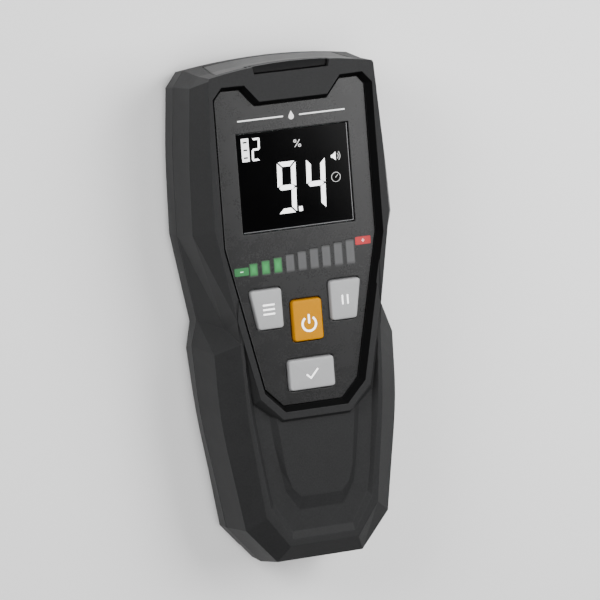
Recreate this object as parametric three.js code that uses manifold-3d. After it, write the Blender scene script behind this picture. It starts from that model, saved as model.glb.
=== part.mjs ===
// A pinless moisture meter for floors: a hand-held case that lies on its back, with its display end
// towards +Y, its keys and display facing +Z and its sensor pad flat on the floor at z = 0.
// Millimetres. Every height along the body is measured from the bottom end, or as a drop from the top end.
import * as THREE from 'three';
import { mergeVertices } from 'three/addons/utils/BufferGeometryUtils.js';
import Module from 'manifold-3d';

const wasm = await Module();
wasm.setup();

// ---- Driving dimensions -------------------------------------------------------------------------

const BODY_LENGTH = 156.1;
const BODY_WIDTH = 66;
const BODY_DEPTH = 32;
const GAP = 0.3; // clearance between pieces that touch or pass through each other
const WALL = 2.2;
const BACK_WALL = 3.0;
const TOP_WALL = 2.4; // least thickness of the top end
const CROWN = 2.5; // rise of the top end's front edge from its corners to its middle
const REAR_CROWN = 2.1;
const CROWN_STEPS = 5; // chords in half the crown
const FAIRING_STEPS = 4; // chords between two stations of a smooth flank
const PAD_PROUD = 0.4; // how far the sensor pad and the rest ribs stand out of the back

const SHOULDER_DEPTH_HEAD = 9; // front rim down to the foot of the wide chamfer
const SHOULDER_DEPTH_GRIP = 7;
const SEAM_DEPTH = 21.5; // front rim down to the joint between the two shells
const REAR_EDGE_DEPTH = 28.5;
const BACK_CHAMFER = 2.8;

const PANEL_SINK = 3.1; // front rim down to the control panel's face
const PANEL_THICKNESS = 1.8;
const RECESS_DRAFT = 1.2;
const LEDGE_WIDTH = 1.8;
const LEDGE_THICKNESS = 2.0;
const TONGUE_HALF = 11.75;
const TONGUE_SLOPE_RUN = 4.5;

const GRIP_SINK = 2.8; // front rim down to the floor of the grip's recess
const PLATEAU_RISE = 1.3;
const FRAME_BEVEL = 1.5;

const DISPLAY_WIDTH = 36;
const DISPLAY_HEIGHT = 30;
const DISPLAY_DROP = 36.5; // top end to the display's centre
const LENS_SINK = 0.4;
const GLASS_MARGIN = 1.5; // how far the LCD reaches under the panel round its window
const GLASS_THICKNESS = 2.0;
const BACKLIGHT_THICKNESS = 2.4;
const LCD_FRAME_WALL = 1.2;
const RIBBON_WIDTH = 20;

const BAR_COUNT = 9;
const BAR_WIDTH = 2.2;
const BAR_PITCH = 3.97;
const BAR_FIRST_HEIGHT = 3.5;
const BAR_LAST_HEIGHT = 6.9;
const BAR_DROP = 64.4; // top end to the foot of the bars
const BAR_GAP = 0.2;
const BAR_SINK = 0.1; // panel's face down to a bar's face
const BAR_REACH = 0.7; // how far the bars hang below the panel
const LIT_BARS = 3;
const REFLECTOR_MARGIN = 1.2;

const KEY_RISE = 1.45; // key tops over the panel's face
const KEY_CORNER = 1.2;
const KEY_TRAVEL = 0.5;
const KEY_FLANGE = 0.8;
const KEY_STEM_RADIUS = 1.5;
const SIDE_KEY_INNER = 7.8; // the two side keys lean: their outer sides slope inwards towards the grip
const SIDE_KEY_TOP = 18.1;
const SIDE_KEY_FOOT = 16.0;
const SIDE_KEY_HEIGHT = 12.4;
const SIDE_KEY_DROP = 75.1;
const POWER_KEY_WIDTH = 9.8;
const POWER_KEY_HEIGHT = 12.8;
const POWER_KEY_DROP = 79.9;
const SET_KEY_WIDTH = 15.0;
const SET_KEY_HEIGHT = 9.6;
const SET_KEY_DROP = 96.4;
const SWITCH_SIZE = 6.0;
const SWITCH_HEIGHT = 3.0;
const PLUNGER_RADIUS = 1.6;

const BOARD_THICKNESS = 1.6;
const BOARD_HEAD_HALF = 22;
const BOARD_TAIL_HALF = 15.5;
const LAMP_SIZE = 1.5; // a square lamp on the board under each level bar
const LAMP_HEIGHT = 0.7;
const PROCESSOR_SIZE = 12;
const PROCESSOR_THICKNESS = 1.4;
const PROCESSOR_DROP = 10; // display's centre down to the processor's centre
const BUZZER_RADIUS = 6;
const BUZZER_HEIGHT = 5;
const BUZZER_HOLE = 1.2; // radius

const WINDOW_HALF = 12.0; // dark strip in the front edge of the top end
const WINDOW_HEIGHT = 3.4;
const WINDOW_SINK = 1.3;
const WINDOW_FLARE = 1.2; // how much wider the strip is at the end's face, on each side
const WINDOW_THICKNESS = 2.2;
const ALERT_LED_X = 7.5;
const ALERT_LED_HALF = 1.6;
const CAP_FRONT_HALF = 23.3;
const CAP_REAR_HALF = 21;
const CAP_THICKNESS = 1.4;
const CAP_FRONT_SINK = 2.6; // front rim down to the cap's front edge

const PAD_WIDTH = 38;
const PAD_LENGTH = 48;
const PAD_DROP = 34.9; // top end to the pad's centre
const PAD_THICKNESS = 1.6;
const PAD_CORNER = 3;
const ELECTRODE_MARGIN = 3;
const ELECTRODE_THICKNESS = 0.8;

const CELL_DIAMETER = 10.4;
const CELL_LENGTH = 44.4;
const CELL_COUNT = 3;
const SPRING_LENGTH = 4.6;
const CONTACT_THICKNESS = 0.5;
const HOLDER_WALL = 1.2;
const SPRING_FOOT = 3.8; // radius of a coil at its foot
const SPRING_HEAD = 2.4; // radius where it meets the cell
const SPRING_WIRE = 0.35; // radius
const SPRING_TURNS = 3.5;
const CONTACT_HALF = 4;
const BATTERY_LEAD_RADIUS = 0.6;
const BATTERY_LEAD_X = 7;
const SENSOR_LEAD_RADIUS = 0.8;
const DOOR_THICKNESS = 2.0;
const DOOR_LIP = 1.4;
const DOOR_LIP_THICKNESS = 0.8;

const SCREW_SHANK = 1.15; // radius
const SCREW_HEAD = 2.3; // radius
const SCREW_HEAD_HEIGHT = 1.8;
const CASE_SCREW_LENGTH = 13;
const BOARD_SCREW_LENGTH = 5.2;
const BOSS_WALL = 1.4;

// ---- Levels and places worked out from the driving dimensions -----------------------------------

const HALF = BODY_WIDTH / 2;
const FRONT_Z = BODY_DEPTH;
const SEAM_Z = FRONT_Z - SEAM_DEPTH;
const BACK_Z = PAD_PROUD;
const FLOOR_Z = BACK_Z + BACK_WALL; // inner face of the back wall
const PANEL_Z = FRONT_Z - PANEL_SINK;
const PANEL_UNDER_Z = PANEL_Z - PANEL_THICKNESS;
const LEDGE_TOP_Z = PANEL_UNDER_Z - GAP;
const CEILING_Z = LEDGE_TOP_Z - LEDGE_THICKNESS;
const GLASS_TOP_Z = PANEL_UNDER_Z - GAP;
const BACKLIGHT_TOP_Z = GLASS_TOP_Z - GLASS_THICKNESS - GAP;
const FRAME_FLOOR_Z = BACKLIGHT_TOP_Z - BACKLIGHT_THICKNESS - GAP;
const BOARD_TOP_Z = FRAME_FLOOR_Z - LCD_FRAME_WALL - GAP;
const BOARD_Z = BOARD_TOP_Z - BOARD_THICKNESS;
const fromTop = (drop) => BODY_LENGTH - drop;
const DISPLAY_Y = fromTop(DISPLAY_DROP);
const PAD_Y = fromTop(PAD_DROP);
const INNER_TOP_Y = BODY_LENGTH - CROWN - 0.4 - TOP_WALL;

// Outlines share one list of stations, from the top corner to the bottom end. Each gives, for the front
// rim, the shoulder, the seam and the rear edge in turn, its inset from the half width and its place.
const FRONT = 0;
const SHOULDER = 1;
const SEAM = 2;
const REAR = 3;
const STATIONS = [
  { name: 'top corner', inset: [6.6, 6.5, 6.3, 6.2], drop: [3.1, 3.1, 2.1, 3] },
  { name: 'side top', inset: [6.2, 3.3, 2.6, 2.6], drop: [3.9, 6.4, 6.8, 7.5] },
  { name: 'side', inset: [5.1, 1.4, 0.7, 0.8], drop: [27.4, 27.9, 28.4, 28.4] },
  { name: 'bulge', inset: [4.6, 0.5, 0, 0], drop: [49.4, 50.9, 52, 52] },
  { name: 'waist', inset: [9.5, 8.8, 4.2, 4.3], drop: [77.4, 80.8, 78.5, 79.7], sink: 0 },
  { name: 'flare', inset: [10.1, 3.7, 1.9, 2.5], drop: [84.4, 87.7, 86.2, 87.8], sink: 0.5, grip: true },
  { name: 'grip', inset: [11, 4.3, 3.1, 4.1], rise: [49.2, 48.4, 47.7, 47.7], sink: 1.1, grip: true },
  { name: 'low grip', inset: [13.2, 6.9, 5.9, 6.6], rise: [29.7, 29.5, 29.2, 29.2], sink: 1.6, grip: true },
  { name: 'end corner', inset: [14.7, 9.5, 8.5, 8.8], rise: [17.2, 13.1, 12.2, 11.8], sink: 1.9,
    grip: true },
  { name: 'end', inset: [21.8, 18.9, 18.8, 18.2], rise: [7.3, 2.1, 0, 0.6], sink: 2.0, grip: true },
];

// ---- Geometry helpers ---------------------------------------------------------------------------

/** A closed BufferGeometry as a manifold solid. */
function toSolid(geometry) {
  const bare = geometry.clone();
  bare.deleteAttribute('normal');
  bare.deleteAttribute('uv');
  const merged = mergeVertices(bare, 1e-4);
  return new wasm.Manifold(new wasm.Mesh({
    numProp: 3,
    vertProperties: new Float32Array(merged.attributes.position.array),
    triVerts: new Uint32Array(merged.index.array),
  }));
}

/** A manifold solid as a BufferGeometry. */
function toGeometry(solid) {
  const mesh = solid.getMesh();
  const geometry = new THREE.BufferGeometry();
  geometry.setAttribute('position', new THREE.BufferAttribute(new Float32Array(mesh.vertProperties), 3));
  geometry.setIndex(new THREE.BufferAttribute(new Uint32Array(mesh.triVerts), 1));
  geometry.computeVertexNormals();
  return geometry;
}

/** Joins solids into one. */
function join(...solids) {
  return solids.reduce((whole, solid) => whole.add(solid));
}

/** Takes every tool away from a solid. */
function cut(solid, ...tools) {
  return tools.reduce((rest, tool) => rest.subtract(tool), solid);
}

/** A closed skin through rings of [x, y, z] points, each counter-clockwise from above, lowest first. */
function loft(rings) {
  const count = rings[0].length;
  const positions = rings.flat(2);
  const index = [];
  for (let level = 0; level < rings.length - 1; level += 1) {
    for (let i = 0; i < count; i += 1) {
      const next = (i + 1) % count;
      const [a, b] = [level * count + i, level * count + next];
      index.push(a, b, b + count, a, b + count, a + count);
    }
  }
  const flat = (ring) => ring.map(([x, y]) => new THREE.Vector2(x, y));
  const top = (rings.length - 1) * count;
  for (const [a, b, c] of THREE.ShapeUtils.triangulateShape(flat(rings[0]), [])) {
    index.push(a, c, b);
  }
  for (const [a, b, c] of THREE.ShapeUtils.triangulateShape(flat(rings.at(-1)), [])) {
    index.push(top + a, top + b, top + c);
  }
  const geometry = new THREE.BufferGeometry();
  geometry.setAttribute('position', new THREE.Float32BufferAttribute(positions, 3));
  geometry.setIndex(index);
  return toSolid(geometry);
}

/** A flat outline raised to a height; the outline's own third values, if any, are dropped. */
const raise = (outline, z) => outline.map(([x, y]) => [x, y, z]);

/** A straight prism over an outline. */
const prism = (outline, low, high) => loft([raise(outline, low), raise(outline, high)]);

/** A full counter-clockwise outline from its right half, listed from the top to the bottom. */
function mirrored(half) {
  const right = [...half].reverse();
  const left = half.filter(([x]) => x > 0).map(([x, ...rest]) => [-x, ...rest]);
  return [...right, ...left];
}

/** A counter-clockwise outline moved outwards by a distance, with mitred corners. */
function offset(outline, distance) {
  const count = outline.length;
  return outline.map(([x, y], i) => {
    const [px, py] = outline[(i + count - 1) % count];
    const [nx, ny] = outline[(i + 1) % count];
    const before = new THREE.Vector2(y - py, px - x).normalize();
    const after = new THREE.Vector2(ny - y, x - nx).normalize();
    const share = distance / (1 + before.dot(after));
    return [x + (before.x + after.x) * share, y + (before.y + after.y) * share];
  });
}

/** An outline with each corner rounded to a radius by a few short chords. */
function rounded(outline, radius, steps = 3) {
  const count = outline.length;
  return outline.flatMap((point, i) => {
    const corner = new THREE.Vector2(...point);
    const before = new THREE.Vector2(...outline[(i + count - 1) % count]).sub(corner).normalize();
    const after = new THREE.Vector2(...outline[(i + 1) % count]).sub(corner).normalize();
    const half = Math.acos(before.dot(after)) / 2;
    const reach = radius / Math.tan(half);
    const start = corner.clone().addScaledVector(before, reach);
    const end = corner.clone().addScaledVector(after, reach);
    const curve = new THREE.QuadraticBezierCurve(start, corner, end);
    return curve.getPoints(steps).map((p) => [p.x, p.y]);
  });
}

/** A rectangle outline about a centre. */
const rectangle = (width, height, x = 0, y = 0) => [
  [x - width / 2, y - height / 2],
  [x + width / 2, y - height / 2],
  [x + width / 2, y + height / 2],
  [x - width / 2, y + height / 2],
];

/** A box between two corners. */
function block([x0, y0, z0], [x1, y1, z1]) {
  const geometry = new THREE.BoxGeometry(x1 - x0, y1 - y0, z1 - z0);
  return toSolid(geometry.translate((x0 + x1) / 2, (y0 + y1) / 2, (z0 + z1) / 2));
}

/** An upright cylinder. */
function post(radius, low, high, x, y, sides = 20) {
  const geometry = new THREE.CylinderGeometry(radius, radius, high - low, sides);
  return toSolid(geometry.rotateX(Math.PI / 2).translate(x, y, (low + high) / 2));
}

/** A solid of revolution about the upright axis, from [radius, height] points that start and end on it. */
function turned(profile, sides = 20) {
  const points = profile.map(([radius, height]) => new THREE.Vector2(radius, height));
  return new THREE.LatheGeometry(points, sides).rotateX(Math.PI / 2);
}

/** A round wire along a smooth path. */
function wire(points, radius, sides, steps) {
  const section = new THREE.Shape(
    Array.from({ length: sides }, (_, i) => {
      const angle = (i / sides) * Math.PI * 2;
      return new THREE.Vector2(Math.cos(angle) * radius, Math.sin(angle) * radius);
    }),
  );
  const extrudePath = new THREE.CatmullRomCurve3(points.map((p) => new THREE.Vector3(...p)));
  return new THREE.ExtrudeGeometry(section, { steps, extrudePath, bevelEnabled: false });
}

// ---- The group and its materials ----------------------------------------------------------------

const meter = new THREE.Group();
meter.position.set(0, -BODY_LENGTH / 2, 0);

/** A plain material. */
const finish = (color, roughness, metalness = 0) =>
  new THREE.MeshStandardMaterial({ color, roughness, metalness });

const MATERIALS = {
  shell: () => finish(0x1f2022, 0.55),
  rearShell: () => finish(0x242527, 0.55),
  cap: () => finish(0x3a3b3d, 0.42),
  smoked: () => finish(0x0c0d0f, 0.18),
  panel: () => finish(0x343639, 0.5),
  lens: () => finish(0x020203, 0.08),
  glass: () => finish(0x20262a, 0.12),
  backlight: () => finish(0xe9edf0, 0.4),
  whitePlastic: () => finish(0xd9dbd8, 0.5),
  litBar: () => finish(0x19c060, 0.3),
  dimBar: () => finish(0x85888b, 0.35),
  key: () => finish(0x9c9fa2, 0.5),
  powerKey: () => finish(0xf6a609, 0.45),
  silicone: () => finish(0x4a4c4e, 0.8),
  board: () => finish(0x0f5a35, 0.45),
  chip: () => finish(0x141416, 0.5),
  copper: () => finish(0xc07a45, 0.35, 1),
  steel: () => finish(0xb4b7ba, 0.32, 1),
  pad: () => finish(0x17181a, 0.62),
  holder: () => finish(0x18191b, 0.6),
  cell: () => finish(0x53687c, 0.35),
  ribbon: () => finish(0xb8742c, 0.4),
  lead: () => finish(0x2a2a2c, 0.5),
  redLead: () => finish(0xa81c1c, 0.5),
};

/** Adds one named piece, made from a geometry or a solid, where the body's own frame has it. */
function addPiece(name, shape, material, [x, y, z] = [0, 0, 0]) {
  const geometry = shape.isBufferGeometry ? shape : toGeometry(shape);
  const mesh = new THREE.Mesh(geometry, material());
  mesh.name = name;
  mesh.position.set(x, y, z);
  meter.add(mesh);
  return mesh;
}

// ---- Outlines of the case -----------------------------------------------------------------------

/** A stretch of an outline drawn as a smooth curve through its points. */
const faired = (points) =>
  new THREE.CatmullRomCurve3(points.map((point) => new THREE.Vector3(...point)))
    .getPoints((points.length - 1) * FAIRING_STEPS)
    .map((point) => point.toArray());

/** Where a station lies along the body at one level. */
const stationY = (station, level) =>
  (station.rise ? station.rise[level] : fromTop(station.drop[level]));

/** Right half of the case's outline at one level, from the middle of the crowned top end. */
function caseHalf(level, depth) {
  const sides = STATIONS.map((station) => [
    HALF - station.inset[level],
    stationY(station, level),
    FRONT_Z - depth(station),
  ]);
  const [cornerX, cornerY, cornerZ] = sides[0];
  const rise = level >= SEAM ? REAR_CROWN : CROWN;
  const crown = Array.from({ length: CROWN_STEPS }, (_, i) => {
    const share = i / CROWN_STEPS;
    return [share * cornerX, cornerY + rise * (1 - share ** 2), cornerZ];
  });
  const [corner, ...flank] = sides;
  const [head, waist, grip, end] = [flank.slice(0, 3), flank[3], flank.slice(4, 8), flank[8]];
  return [...crown, corner, ...faired(head), waist, ...faired(grip), end];
}

const frontRing = mirrored(caseHalf(FRONT, (station) => station.sink ?? 0));
const shoulderRing = mirrored(caseHalf(
  SHOULDER,
  (station) => (station.grip ? SHOULDER_DEPTH_GRIP : SHOULDER_DEPTH_HEAD),
));
const seamRing = mirrored(caseHalf(SEAM, () => SEAM_DEPTH));
const rearRing = mirrored(caseHalf(REAR, () => REAR_EDGE_DEPTH));

/** The control panel's outline: the case's tongue dips into its top edge. */
const panelOutline = mirrored([
  [TONGUE_HALF, fromTop(13.2)],
  [TONGUE_HALF + TONGUE_SLOPE_RUN, fromTop(7.8)],
  [HALF - 10.8, fromTop(7.7)],
  [HALF - 8.6, fromTop(10.2)],
  [HALF - 8.5, fromTop(55.4)],
  [HALF - 17.9, fromTop(99.7)],
  [HALF - 23.4, fromTop(105.4)],
]);

// ---- Places of the bought-in pieces -------------------------------------------------------------

const cellPitch = CELL_DIAMETER + 0.8;
const holderHalf = (CELL_COUNT * cellPitch) / 2 + HOLDER_WALL;
const holderInside = CONTACT_THICKNESS + GAP + CELL_LENGTH + GAP + SPRING_LENGTH + 2 * GAP;
const doorHalf = holderHalf;
const openingHalf = doorHalf + GAP;
const grooveHalf = openingHalf + DOOR_LIP;

/** The lowest place where the inside of the case is wide enough for a half width. */
function lowestRoomFor(halfWidth) {
  const corner = STATIONS.find((station) => station.name === 'end corner');
  const end = STATIONS.find((station) => station.name === 'end');
  const [x0, y0] = [HALF - end.inset[REAR], stationY(end, REAR)];
  const [x1, y1] = [HALF - corner.inset[REAR], stationY(corner, REAR)];
  const slope = (y1 - y0) / (x1 - x0);
  return y0 + Math.max(0, halfWidth - x0) * slope + (WALL + 1) * Math.hypot(1, slope);
}

const holderStart = lowestRoomFor(holderHalf + GAP);
const holderEnd = holderStart + 2 * HOLDER_WALL + holderInside;
const doorEnd = holderEnd + 1.5;
const cellZ = BACK_Z + DOOR_THICKNESS + 1.2 + CELL_DIAMETER / 2;
const holderTopZ = cellZ + CELL_DIAMETER / 2 + GAP + HOLDER_WALL;

const bossRadius = SCREW_HEAD + GAP + BOSS_WALL - 0.4;
const postRadius = SCREW_SHANK + GAP + BOSS_WALL;
const lowerScrewY = doorEnd + GAP + 2.4 + bossRadius;
const upperScrewY =
  DISPLAY_Y + DISPLAY_HEIGHT / 2 + GLASS_MARGIN + LCD_FRAME_WALL + 3 * GAP + postRadius;
const caseScrews = [
  [HALF - 7.4, upperScrewY],
  [-(HALF - 7.4), upperScrewY],
  [HALF - 10.5, lowerScrewY],
  [-(HALF - 10.5), lowerScrewY],
];
const boardScrews = [
  [0, fromTop(9)],
  [0, fromTop(109)],
];

// ---- Front shell and what is let into it --------------------------------------------------------

const seamTopZ = SEAM_Z + GAP / 2;
const frontBody = loft([raise(seamRing, seamTopZ), shoulderRing, frontRing]);

/** Cut for the recess in the grip's face; its walls lean outwards. */
function gripRecess() {
  const floorZ = FRONT_Z - GRIP_SINK;
  const lean = 1.2;
  const floor = [
    [HALF - 11.2, fromTop(81.4)],
    [HALF - 11.7, fromTop(84.4)],
    [HALF - 13.8, 49.2],
    [HALF - 16.1, 29.7],
    [HALF - 17.5, 21],
    [HALF - 23.1, 11.8],
  ];
  const shift = [[0.1, 0], [0.3, 0], [1.1, 0], [1.2, 0], [1.4, -1.8], [0.5, -3.2]];
  const steps = (FRONT_Z + 1 - floorZ) / lean;
  const mouth = floor.map(([x, y], i) => [x + shift[i][0] * steps, y + shift[i][1] * steps]);
  const outline = (half, z) => {
    const points = raise(half, z);
    return mirrored([points[0], ...faired(points.slice(1, 5)), points[5]]);
  };
  return loft([outline(floor, floorZ), outline(mouth, FRONT_Z + 1)]);
}

/** The raised frame that carries the front rim round the lower end of the panel. */
function panelFrame() {
  const top = [
    [HALF - 10.5, fromTop(70.4)],
    [HALF - 9.6, fromTop(77.4)],
    [HALF - 15, fromTop(101.9)],
    [HALF - 22, fromTop(109.1)],
  ];
  const foot = [top[0], top[1], [top[2][0] + FRAME_BEVEL, top[2][1] - 1.1 * FRAME_BEVEL],
    [top[3][0] + 0.3, top[3][1] - FRAME_BEVEL]];
  return loft([
    raise(mirrored(foot), FRONT_Z - GRIP_SINK - 2),
    raise(mirrored(foot), FRONT_Z - GRIP_SINK + 0.4),
    raise(mirrored(top), FRONT_Z),
  ]);
}

/** The raised field in the middle of the grip's recess. */
function gripPlateau() {
  const foot = [[HALF - 17.8, fromTop(104.4)], [HALF - 19, 40.5], [HALF - 20.5, 31.2], [HALF - 21.7, 24.6],
    [HALF - 25.8, 18.2]];
  const top = [[HALF - 19.7, fromTop(104.4)], [HALF - 21.1, 40.2], [HALF - 22.2, 30.2], [HALF - 23.8, 25.2],
    [HALF - 26.4, 22.4]];
  const floorZ = FRONT_Z - GRIP_SINK;
  return loft([raise(mirrored(foot), floorZ - 1), raise(mirrored(foot), floorZ),
    raise(mirrored(top), floorZ + PLATEAU_RISE)]);
}

/** Opening for the control panel: a straight seat with leaning walls above it, and a ledge under it. */
function panelOpening() {
  const seat = offset(panelOutline, GAP);
  const rise = (FRONT_Z + 1 - PANEL_Z) / PANEL_SINK;
  return join(
    loft([
      raise(seat, LEDGE_TOP_Z),
      raise(seat, PANEL_Z),
      raise(offset(panelOutline, GAP + RECESS_DRAFT * rise), FRONT_Z + 1),
    ]),
    prism(offset(panelOutline, -LEDGE_WIDTH), CEILING_Z - 1, LEDGE_TOP_Z + 0.1),
  );
}

/** Inside of the case below the ceiling, with its flat inner top end. */
function frontCavity() {
  const room = (ring, inset) =>
    offset(ring, -inset).map(([x, y]) => [x, Math.min(y, INNER_TOP_Y)]);
  return loft([
    raise(room(seamRing, WALL), seamTopZ - 1),
    raise(room(seamRing, WALL), seamTopZ),
    raise(room(shoulderRing, WALL), FRONT_Z - SHOULDER_DEPTH_HEAD - 0.5),
    raise(room(shoulderRing, WALL + 1.3), CEILING_Z),
  ]);
}

/** The strip-shaped notch in the front edge of the top end, grown all round by a clearance. */
function windowSlot(grow, low, high) {
  const foot = fromTop(WINDOW_HEIGHT) - grow;
  const lip = WINDOW_HALF + WINDOW_FLARE + grow;
  const mouth = BODY_LENGTH + 2;
  return prism(
    [[-WINDOW_HALF - grow, foot], [WINDOW_HALF + grow, foot], [lip, mouth], [-lip, mouth]],
    low,
    high,
  );
}

/** The place of the top cap, grown all round by a clearance. */
function capPlace(grow) {
  const frontZ = FRONT_Z - CAP_FRONT_SINK + grow;
  const rearZ = SEAM_Z + 2 - grow;
  const outline = (z, half) => raise(rectangle(2 * (half + grow), 12, 0, BODY_LENGTH), z);
  return loft([outline(rearZ, CAP_REAR_HALF), outline(frontZ, CAP_FRONT_HALF)]);
}

/** Outline of the tray round the display stack, grown by a clearance. */
const trayOutline = (grow = 0) => {
  const rim = 2 * (GLASS_MARGIN + GAP + LCD_FRAME_WALL + grow);
  return rectangle(DISPLAY_WIDTH + rim, DISPLAY_HEIGHT + rim, 0, DISPLAY_Y);
};

const windowTopZ = FRONT_Z - WINDOW_SINK;
const windowBackZ = windowTopZ - WINDOW_THICKNESS;
const capBack = (depth) => frontBody.translate([0, -depth, 0]);
const windowGuard = windowSlot(2 * GAP, windowBackZ - 3 * GAP, FRONT_Z + 1);

function frontShell() {
  const outside = join(cut(frontBody, gripRecess()), panelFrame(), gripPlateau());
  const posts = caseScrews.map(([x, y]) => post(postRadius, seamTopZ, CEILING_Z + 0.5, x, y));
  const boardPosts = boardScrews.map(([x, y]) =>
    post(postRadius, BOARD_TOP_Z + GAP, CEILING_Z + 0.5, x, y));
  const inside = join(
    cut(outside, frontCavity()),
    ...posts.map((solid) => solid.intersect(frontBody)),
    ...boardPosts,
  );
  const pilots = caseScrews.map(([x, y]) => post(SCREW_SHANK + GAP, SEAM_Z - 1, CEILING_Z - 1.5, x, y, 12));
  const boardPilots = boardScrews.map(([x, y]) =>
    post(SCREW_SHANK + GAP, BOARD_Z, CEILING_Z + 2, x, y, 12));
  const lightWell = block(
    [ALERT_LED_X - 2.4, INNER_TOP_Y - 4, CEILING_Z - 1],
    [ALERT_LED_X + 2.4, INNER_TOP_Y + 2, windowBackZ],
  );
  return cut(
    inside,
    panelOpening(),
    windowSlot(0, windowBackZ - GAP, FRONT_Z + 1),
    cut(capPlace(GAP), capBack(CAP_THICKNESS + GAP), windowGuard),
    lightWell,
    prism(trayOutline(GAP), CEILING_Z - 1, LEDGE_TOP_Z + 0.1),
    ...pilots,
    ...boardPilots,
  );
}

addPiece('front_shell', frontShell(), MATERIALS.shell);
addPiece('top_cap', cut(capPlace(0).intersect(frontBody), capBack(CAP_THICKNESS), windowSlot(
  3 * GAP,
  windowBackZ - 4 * GAP,
  FRONT_Z + 1,
)), MATERIALS.cap);
addPiece(
  'alert_window',
  windowSlot(-GAP, windowBackZ, windowTopZ).intersect(frontBody),
  MATERIALS.smoked,
);

// ---- Rear shell, sensor pad and battery door ----------------------------------------------------

const seamLowZ = SEAM_Z - GAP / 2;
const backRing = offset(rearRing, -BACK_CHAMFER);
const rearBody = loft([raise(backRing, BACK_Z), rearRing, raise(seamRing, seamLowZ)]);
const lipLowZ = BACK_Z + DOOR_THICKNESS - DOOR_LIP_THICKNESS;
const lipHighZ = BACK_Z + DOOR_THICKNESS;

/** Room for the sliding door: its opening and the two side grooves, all open at the bottom end. */
function doorRoom() {
  return join(
    block([-openingHalf, -5, -1], [openingHalf, doorEnd + GAP, FLOOR_Z + 1]),
    block([-grooveHalf, -5, lipLowZ - GAP], [grooveHalf, doorEnd + GAP, lipHighZ + GAP]),
  );
}

/** Blind opening behind the sensor pad, with the electrode's window through its floor. */
function padRoom() {
  const around = rectangle(PAD_WIDTH + 2 * GAP, PAD_LENGTH + 2 * GAP, 0, PAD_Y);
  const window = rectangle(
    PAD_WIDTH - 2 * ELECTRODE_MARGIN + 2 * GAP,
    PAD_LENGTH - 2 * ELECTRODE_MARGIN + 2 * GAP,
    0,
    PAD_Y,
  );
  return join(
    prism(rounded(around, 3), -1, PAD_THICKNESS + GAP),
    prism(window, 0, FLOOR_Z + 1),
  );
}

function rearShell() {
  const cavity = loft([
    raise(offset(rearRing, -WALL - 0.8), FLOOR_Z),
    raise(offset(seamRing, -WALL), seamLowZ),
    raise(offset(seamRing, -WALL), seamLowZ + 1),
  ]);
  const room = cut(cavity, block([-HALF, INNER_TOP_Y, 0], [HALF, BODY_LENGTH, BODY_DEPTH]));
  const bosses = caseScrews.map(([x, y]) => post(bossRadius, BACK_Z + 0.5, seamLowZ, x, y));
  const ribX = grooveHalf + 1.4;
  const ribs = [-1, 1].map((side) => {
    const [low, high] = [side * ribX, side * (ribX + 1.6)].sort((a, b) => a - b);
    return block([low, holderStart + 9, 0], [high, holderStart + 23, BACK_Z + 1]);
  });
  const bores = caseScrews.flatMap(([x, y]) => [
    post(SCREW_HEAD + GAP, -1, SEAM_Z - 5, x, y),
    post(SCREW_SHANK + GAP, 0, SEAM_Z + 1, x, y, 12),
  ]);
  return cut(
    join(cut(rearBody, room), ...bosses.map((boss) => boss.intersect(rearBody)), ...ribs),
    doorRoom(),
    padRoom(),
    ...bores,
  );
}

function batteryDoor() {
  const plate = block([-doorHalf, -5, -1], [doorHalf, doorEnd, lipHighZ]);
  const lips = block([-(grooveHalf - GAP), -5, lipLowZ], [grooveHalf - GAP, doorEnd, lipHighZ]);
  const gripLines = [0, 1, 2, 3].map((i) =>
    block([-7, 20 + 2.4 * i, -1], [7, 21 + 2.4 * i, BACK_Z + 0.5]));
  return cut(join(plate, lips).intersect(rearBody), ...gripLines);
}

addPiece('rear_shell', rearShell(), MATERIALS.rearShell);
addPiece('battery_door', batteryDoor(), MATERIALS.rearShell);
const padOutline = rounded(rectangle(PAD_WIDTH, PAD_LENGTH, 0, PAD_Y), PAD_CORNER);
addPiece('sensor_pad', prism(padOutline, 0, PAD_THICKNESS), MATERIALS.pad);

const electrodeZ = PAD_THICKNESS + GAP;
const electrodeHalf = [PAD_WIDTH / 2 - ELECTRODE_MARGIN, PAD_LENGTH / 2 - ELECTRODE_MARGIN];
addPiece(
  'electrode_plate',
  block(
    [-electrodeHalf[0], PAD_Y - electrodeHalf[1], electrodeZ],
    [electrodeHalf[0], PAD_Y + electrodeHalf[1], electrodeZ + ELECTRODE_THICKNESS],
  ),
  MATERIALS.copper,
);
const sensorBoardZ = FLOOR_Z + GAP;
addPiece(
  'sensor_board',
  prism(rectangle(PAD_WIDTH + 2, PAD_LENGTH - 2, 0, PAD_Y), sensorBoardZ, sensorBoardZ + BOARD_THICKNESS),
  MATERIALS.board,
);

// ---- Control panel, keys and their switches -----------------------------------------------------

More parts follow.
